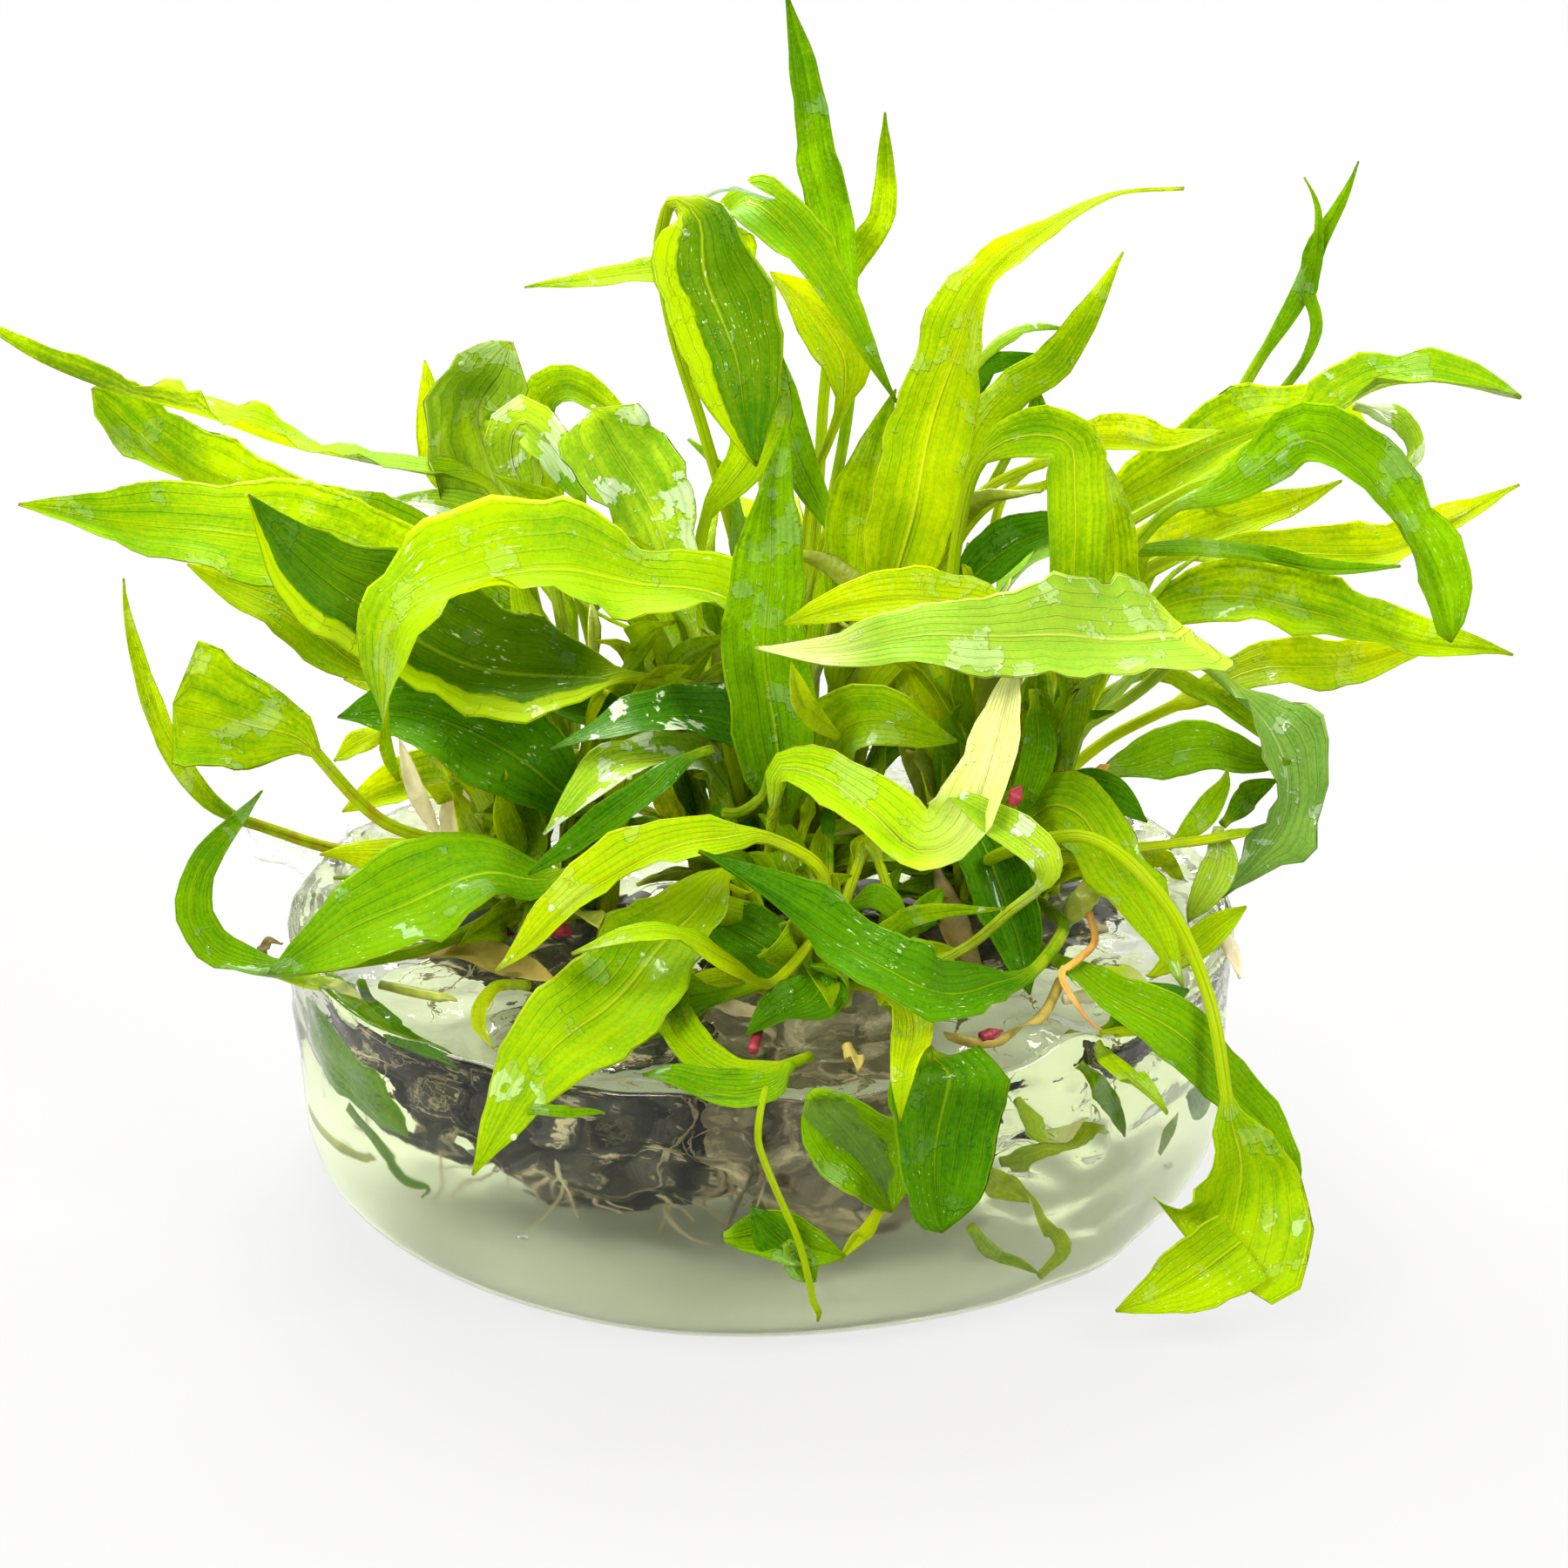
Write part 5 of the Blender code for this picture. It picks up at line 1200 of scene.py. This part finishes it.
def root_threads(name, centre, radius, top, longest, thick, count, seed, finish):
    """Roots that hang from a disc under a crown."""
    t = Growth(name, {"Centre X": centre[0] * MM, "Centre Y": centre[1] * MM, "Radius": radius * MM,
                      "Top": top * MM, "Longest": longest * MM, "Thickness": thick * MM, "Count": count,
                      "Seed": seed, "Finish": finish})
    turn, across, back = t.disc(0.02, t.take("Radius"))
    place = t.vector(t.take("Centre X") + across, t.take("Centre Y") + back, t.take("Top"))
    points = t.node("GeometryNodePoints", None, {"Count": t.take("Count"), "Position": place})
    thread = t.node("GeometryNodeCurvePrimitiveLine", None, {"Start": (0, 0, 0), "End": (0, 0, -1)})
    thread = t.node("GeometryNodeResampleCurve", None, {"Curve": thread, "Count": 16})
    lean = t.vector(0.0, t.chance(-1.15, -0.1, 3), turn)
    long = t.take("Longest") * t.chance(0.35, 1.0, 4)
    loose = t.node("GeometryNodeRealizeInstances", None, {
        0: t.copies(thread, points, t.vector(long, long, long), Rotation=lean)})
    wander = t.node("ShaderNodeTexNoise", {"noise_dimensions": "3D"},
                    {"Vector": t.node("GeometryNodeInputPosition"), "Scale": 130.0, "Detail": 1.0}, 1)
    wander = t.node("ShaderNodeVectorMath", {"operation": "SUBTRACT"}, {0: wander, 1: (0.5, 0.5, 0.5)})
    wander = t.node("ShaderNodeVectorMath", {"operation": "SCALE"}, {0: wander, "Scale": WANDER})
    loose = t.node("GeometryNodeSetPosition", None, {"Geometry": loose, "Offset": wander})
    x, y, z = t.parts(t.node("GeometryNodeInputPosition"))
    kept = t.vector(x, y, t.maths("MAXIMUM", z, LOWEST_THREAD))
    loose = t.node("GeometryNodeSetPosition", None, {"Geometry": loose, "Position": kept})
    slim = 1.0 - t.node("GeometryNodeSplineParameter") * 0.75
    loose = t.node("GeometryNodeSetCurveRadius", None, {"Curve": loose, "Radius": slim})
    ring = t.node("GeometryNodeCurvePrimitiveCircle", None, {"Resolution": 5, "Radius": t.take("Thickness")})
    t.grow(t.node("GeometryNodeCurveToMesh", None, {
        "Curve": loose, "Profile Curve": ring, "Fill Caps": True, "Scale": slim}), "roots")


BROWN_THREADS = {"left": 26, "middle": 16, "right": 8, "front": 14}
root_threads("root_threads_matted", (MATTED[0], MATTED[1] - 1), 12.0, top=10.0, longest=9.0, thick=0.26,
             count=34, seed=90, finish=finishes["root_cream"])
for number, (crown, (centre, radius)) in enumerate(CROWNS.items()):
    root_threads("root_threads_cream_" + crown, centre, radius * 1.05, top=18.0, longest=15.0, thick=0.24,
                 count=26, seed=11 + number, finish=finishes["root_cream"])
    root_threads("root_threads_brown_" + crown, centre, radius * 1.1, top=20.0, longest=15.0, thick=0.4,
                 count=BROWN_THREADS[crown], seed=31 + number, finish=finishes["root_brown"])

# %% [markdown]
# ### Bubbles and drops
# A few small bubbles sit in the gel, and water drops on the wet leaves. Both are low, round beads: the
# bubbles on random points inside the puck, the drops on points scattered over a leaf and turned with its
# surface.

# %% Bubbles and drops
def clear_finish(name, colour, roughness, refraction, transmission):
    """Something clear and glossy."""
    f = Finish(name)
    return f.end(f.skin(Base_Color=colour, Roughness=roughness + f.noise(300, 1.0) * 0.02, IOR=refraction,
                        Transmission_Weight=transmission))


air = clear_finish("air_bubble", (0.9, 0.93, 0.88), roughness=0.03, refraction=1.6, transmission=1.0)
t = Growth("gel_bubbles", {"Outer": 0.044, "Smallest": 0.00018, "Largest": 0.00055, "Count": 46, "Seed": 5,
                           "Finish": air})
_turn, across, back = t.disc(0.3, t.take("Outer"))
place = t.vector(across, back, t.chance(0.003, 0.022, 3))
points = t.node("GeometryNodePoints", None, {"Count": t.take("Count"), "Position": place})
t.grow(t.beads(points, wide=1.6, flat=0.7), "clear_gel")

# How many drops each wet leaf has to the square metre
DROPS = {"pale_front": 8000.0, "left_wrinkled": 30000.0, "front_hanging": 20000.0, "wet_low": 26000.0,
         "front_arch": 16000.0, "dark_gloss": 30000.0, "left_top_broad": 16000.0,
         "front_middle_dark": 20000.0}
# painted light: the drops are tinted light green, which stands in for the lit leaf seen through them, so they
# read as bright beads
water = clear_finish("water", (0.80, 0.95, 0.50), roughness=0.02, refraction=1.33, transmission=0.6)
for number, (name, density) in enumerate(DROPS.items()):
    t = Growth("drops_" + name, {"Density": density, "Smallest": 0.00012, "Largest": 0.0004,
                                 "Seed": 60 + number, "Finish": water})
    spread = t.node("GeometryNodeDistributePointsOnFaces", {"distribute_method": "RANDOM"},
                    {"Mesh": t.take("Geometry"), "Density": t.take("Density"), "Seed": t.take("Seed")})
    turned = Wire(t, spread.socket.node.outputs["Rotation"])
    t.grow(t.beads(spread, wide=1.0, flat=0.45, Rotation=turned), "clear_gel",
           bpy.data.objects[f"leaf_{name}_skin"].data)

# %% [markdown]
# ### Torn gel
# At the back left a thin, clear flap of gel was pulled up when the cup came off. It is a crumpled sheet,
# about a millimetre thick. Its creases scatter light, so there it looks silvery.

# %% Torn gel
FLAP_CORNERS = ((-51, 30, -14), (-41, 29, -16), (-42, 35, -17), (-50.5, 35.5, -15))
FLAP_ROWS, FLAP_COLUMNS = 18, 26
FLAP_ROUGHNESS = 2.4
FLAP_SEED = 3

f = Finish("torn_gel")
crease = f.step(f.noise(260, 3.0, 0.6, warp=1.5), 0.40, 0.60)
torn_gel = f.lit_through(
    0.2 + crease * 0.55,
    f.skin(Base_Color=(0.95, 0.97, 0.93), Roughness=0.08, IOR=1.15, Transmission_Weight=1.0),
    (0.88, 0.91, 0.84))


def crumpled(u, v, lift):
    """A point of the flap between its corners, on its front or its back."""
    a, b, c, d = (seen(corner) for corner in FLAP_CORNERS)
    place = a * (1 - u) * (1 - v) + b * (1 - u) * v + c * u * v + d * u * (1 - v)
    x, y, z = place * 0.22
    shift = [lumps(x, y, z + 5 * n + FLAP_SEED, 1) for n in range(3)]
    edge = min(1, min(u, 1 - u, v, 1 - v) * 6)
    return place + FLAP_ROUGHNESS * np.array(shift) + np.array((0.2, -0.8, 0.5)) * lift * edge


points = [Vector(crumpled(i / (FLAP_ROWS - 1), k / (FLAP_COLUMNS - 1), lift)) * MM
          for lift in (0.6, -0.6) for i in range(FLAP_ROWS) for k in range(FLAP_COLUMNS)]
faces = []
for side in range(2):
    for i in range(FLAP_ROWS - 1):
        for k in range(FLAP_COLUMNS - 1):
            first = (side * FLAP_ROWS + i) * FLAP_COLUMNS + k
            face = (first, first + 1, first + FLAP_COLUMNS + 1, first + FLAP_COLUMNS)
            faces.append(face if side else face[::-1])
flap = add_object("gel_flap", closed_mesh("gel_flap", points, faces, merge=True))
flap.data.materials.append(torn_gel)
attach(flap, "root")

# %% [markdown]
# ## Studio
# A big soft light above and behind shines through the leaves, and two weak ones in front put glints on them.
# The white floor glows by itself, more so towards the back, as a light table does; this glow is painted light,
# dimmed by painted shade at the front left. So the shadows stay faint.

# %% Studio
scene = bpy.context.scene
scene.view_settings.view_transform = "Standard"
world = bpy.data.worlds.new("studio")
world.use_nodes = True
background = world.node_tree.nodes["Background"].inputs
background["Color"].default_value = (1.0, 1.0, 1.0, 1)
background["Strength"].default_value = 0.76
scene.world = world

FLOOR = 12
JUST_BELOW = -0.0002
floor_mesh = bpy.data.meshes.new("floor")
floor_mesh.from_pydata([(x, y, JUST_BELOW) for x, y in (
    (-FLOOR, -FLOOR), (FLOOR, -FLOOR), (FLOOR, FLOOR), (-FLOOR, FLOOR))], [], [(0, 1, 2, 3)])
floor = add_object("floor", floor_mesh)
f = Finish("floor_white")
over, away, _up = f.parts(f.here())
glow = f.mix(f.step(away, 0.0, 0.6), (0.80, 0.795, 0.785), (0.91, 0.91, 0.92))
# painted shade: the floor's glow is dimmed at the front left
left = (1 - f.step(over, -0.2, 0.05)) * (1 - f.step(away, 0.0, 0.4))
floor_mesh.materials.append(f.end(f.skin(
    Base_Color=(0.05, 0.05, 0.05), Roughness=0.8, Specular_IOR_Level=0.1,
    Emission_Color=f.mix(left * 0.09, glow, (0, 0, 0)), Emission_Strength=1.0)))

# Square soft lights that face the clump: where they are, their power and their size
LIGHTS = {"light_top_back": ((-0.12, 0.42, 0.6), 15.0, 0.45),
          "light_front_left": ((-0.35, -0.45, 0.5), 5.7, 0.3),
          "light_front_right": ((0.42, -0.32, 0.5), 3.6, 0.2)}
CLUMP = Vector((0, 0, 0.05))
for name, (place, power, size) in LIGHTS.items():
    light = bpy.data.lights.new(name, "AREA")
    light.energy = power
    light.size = size
    made = add_object(name, light)
    made.location = place
    made.rotation_euler = (CLUMP - Vector(place)).to_track_quat("-Z", "Y").to_euler()
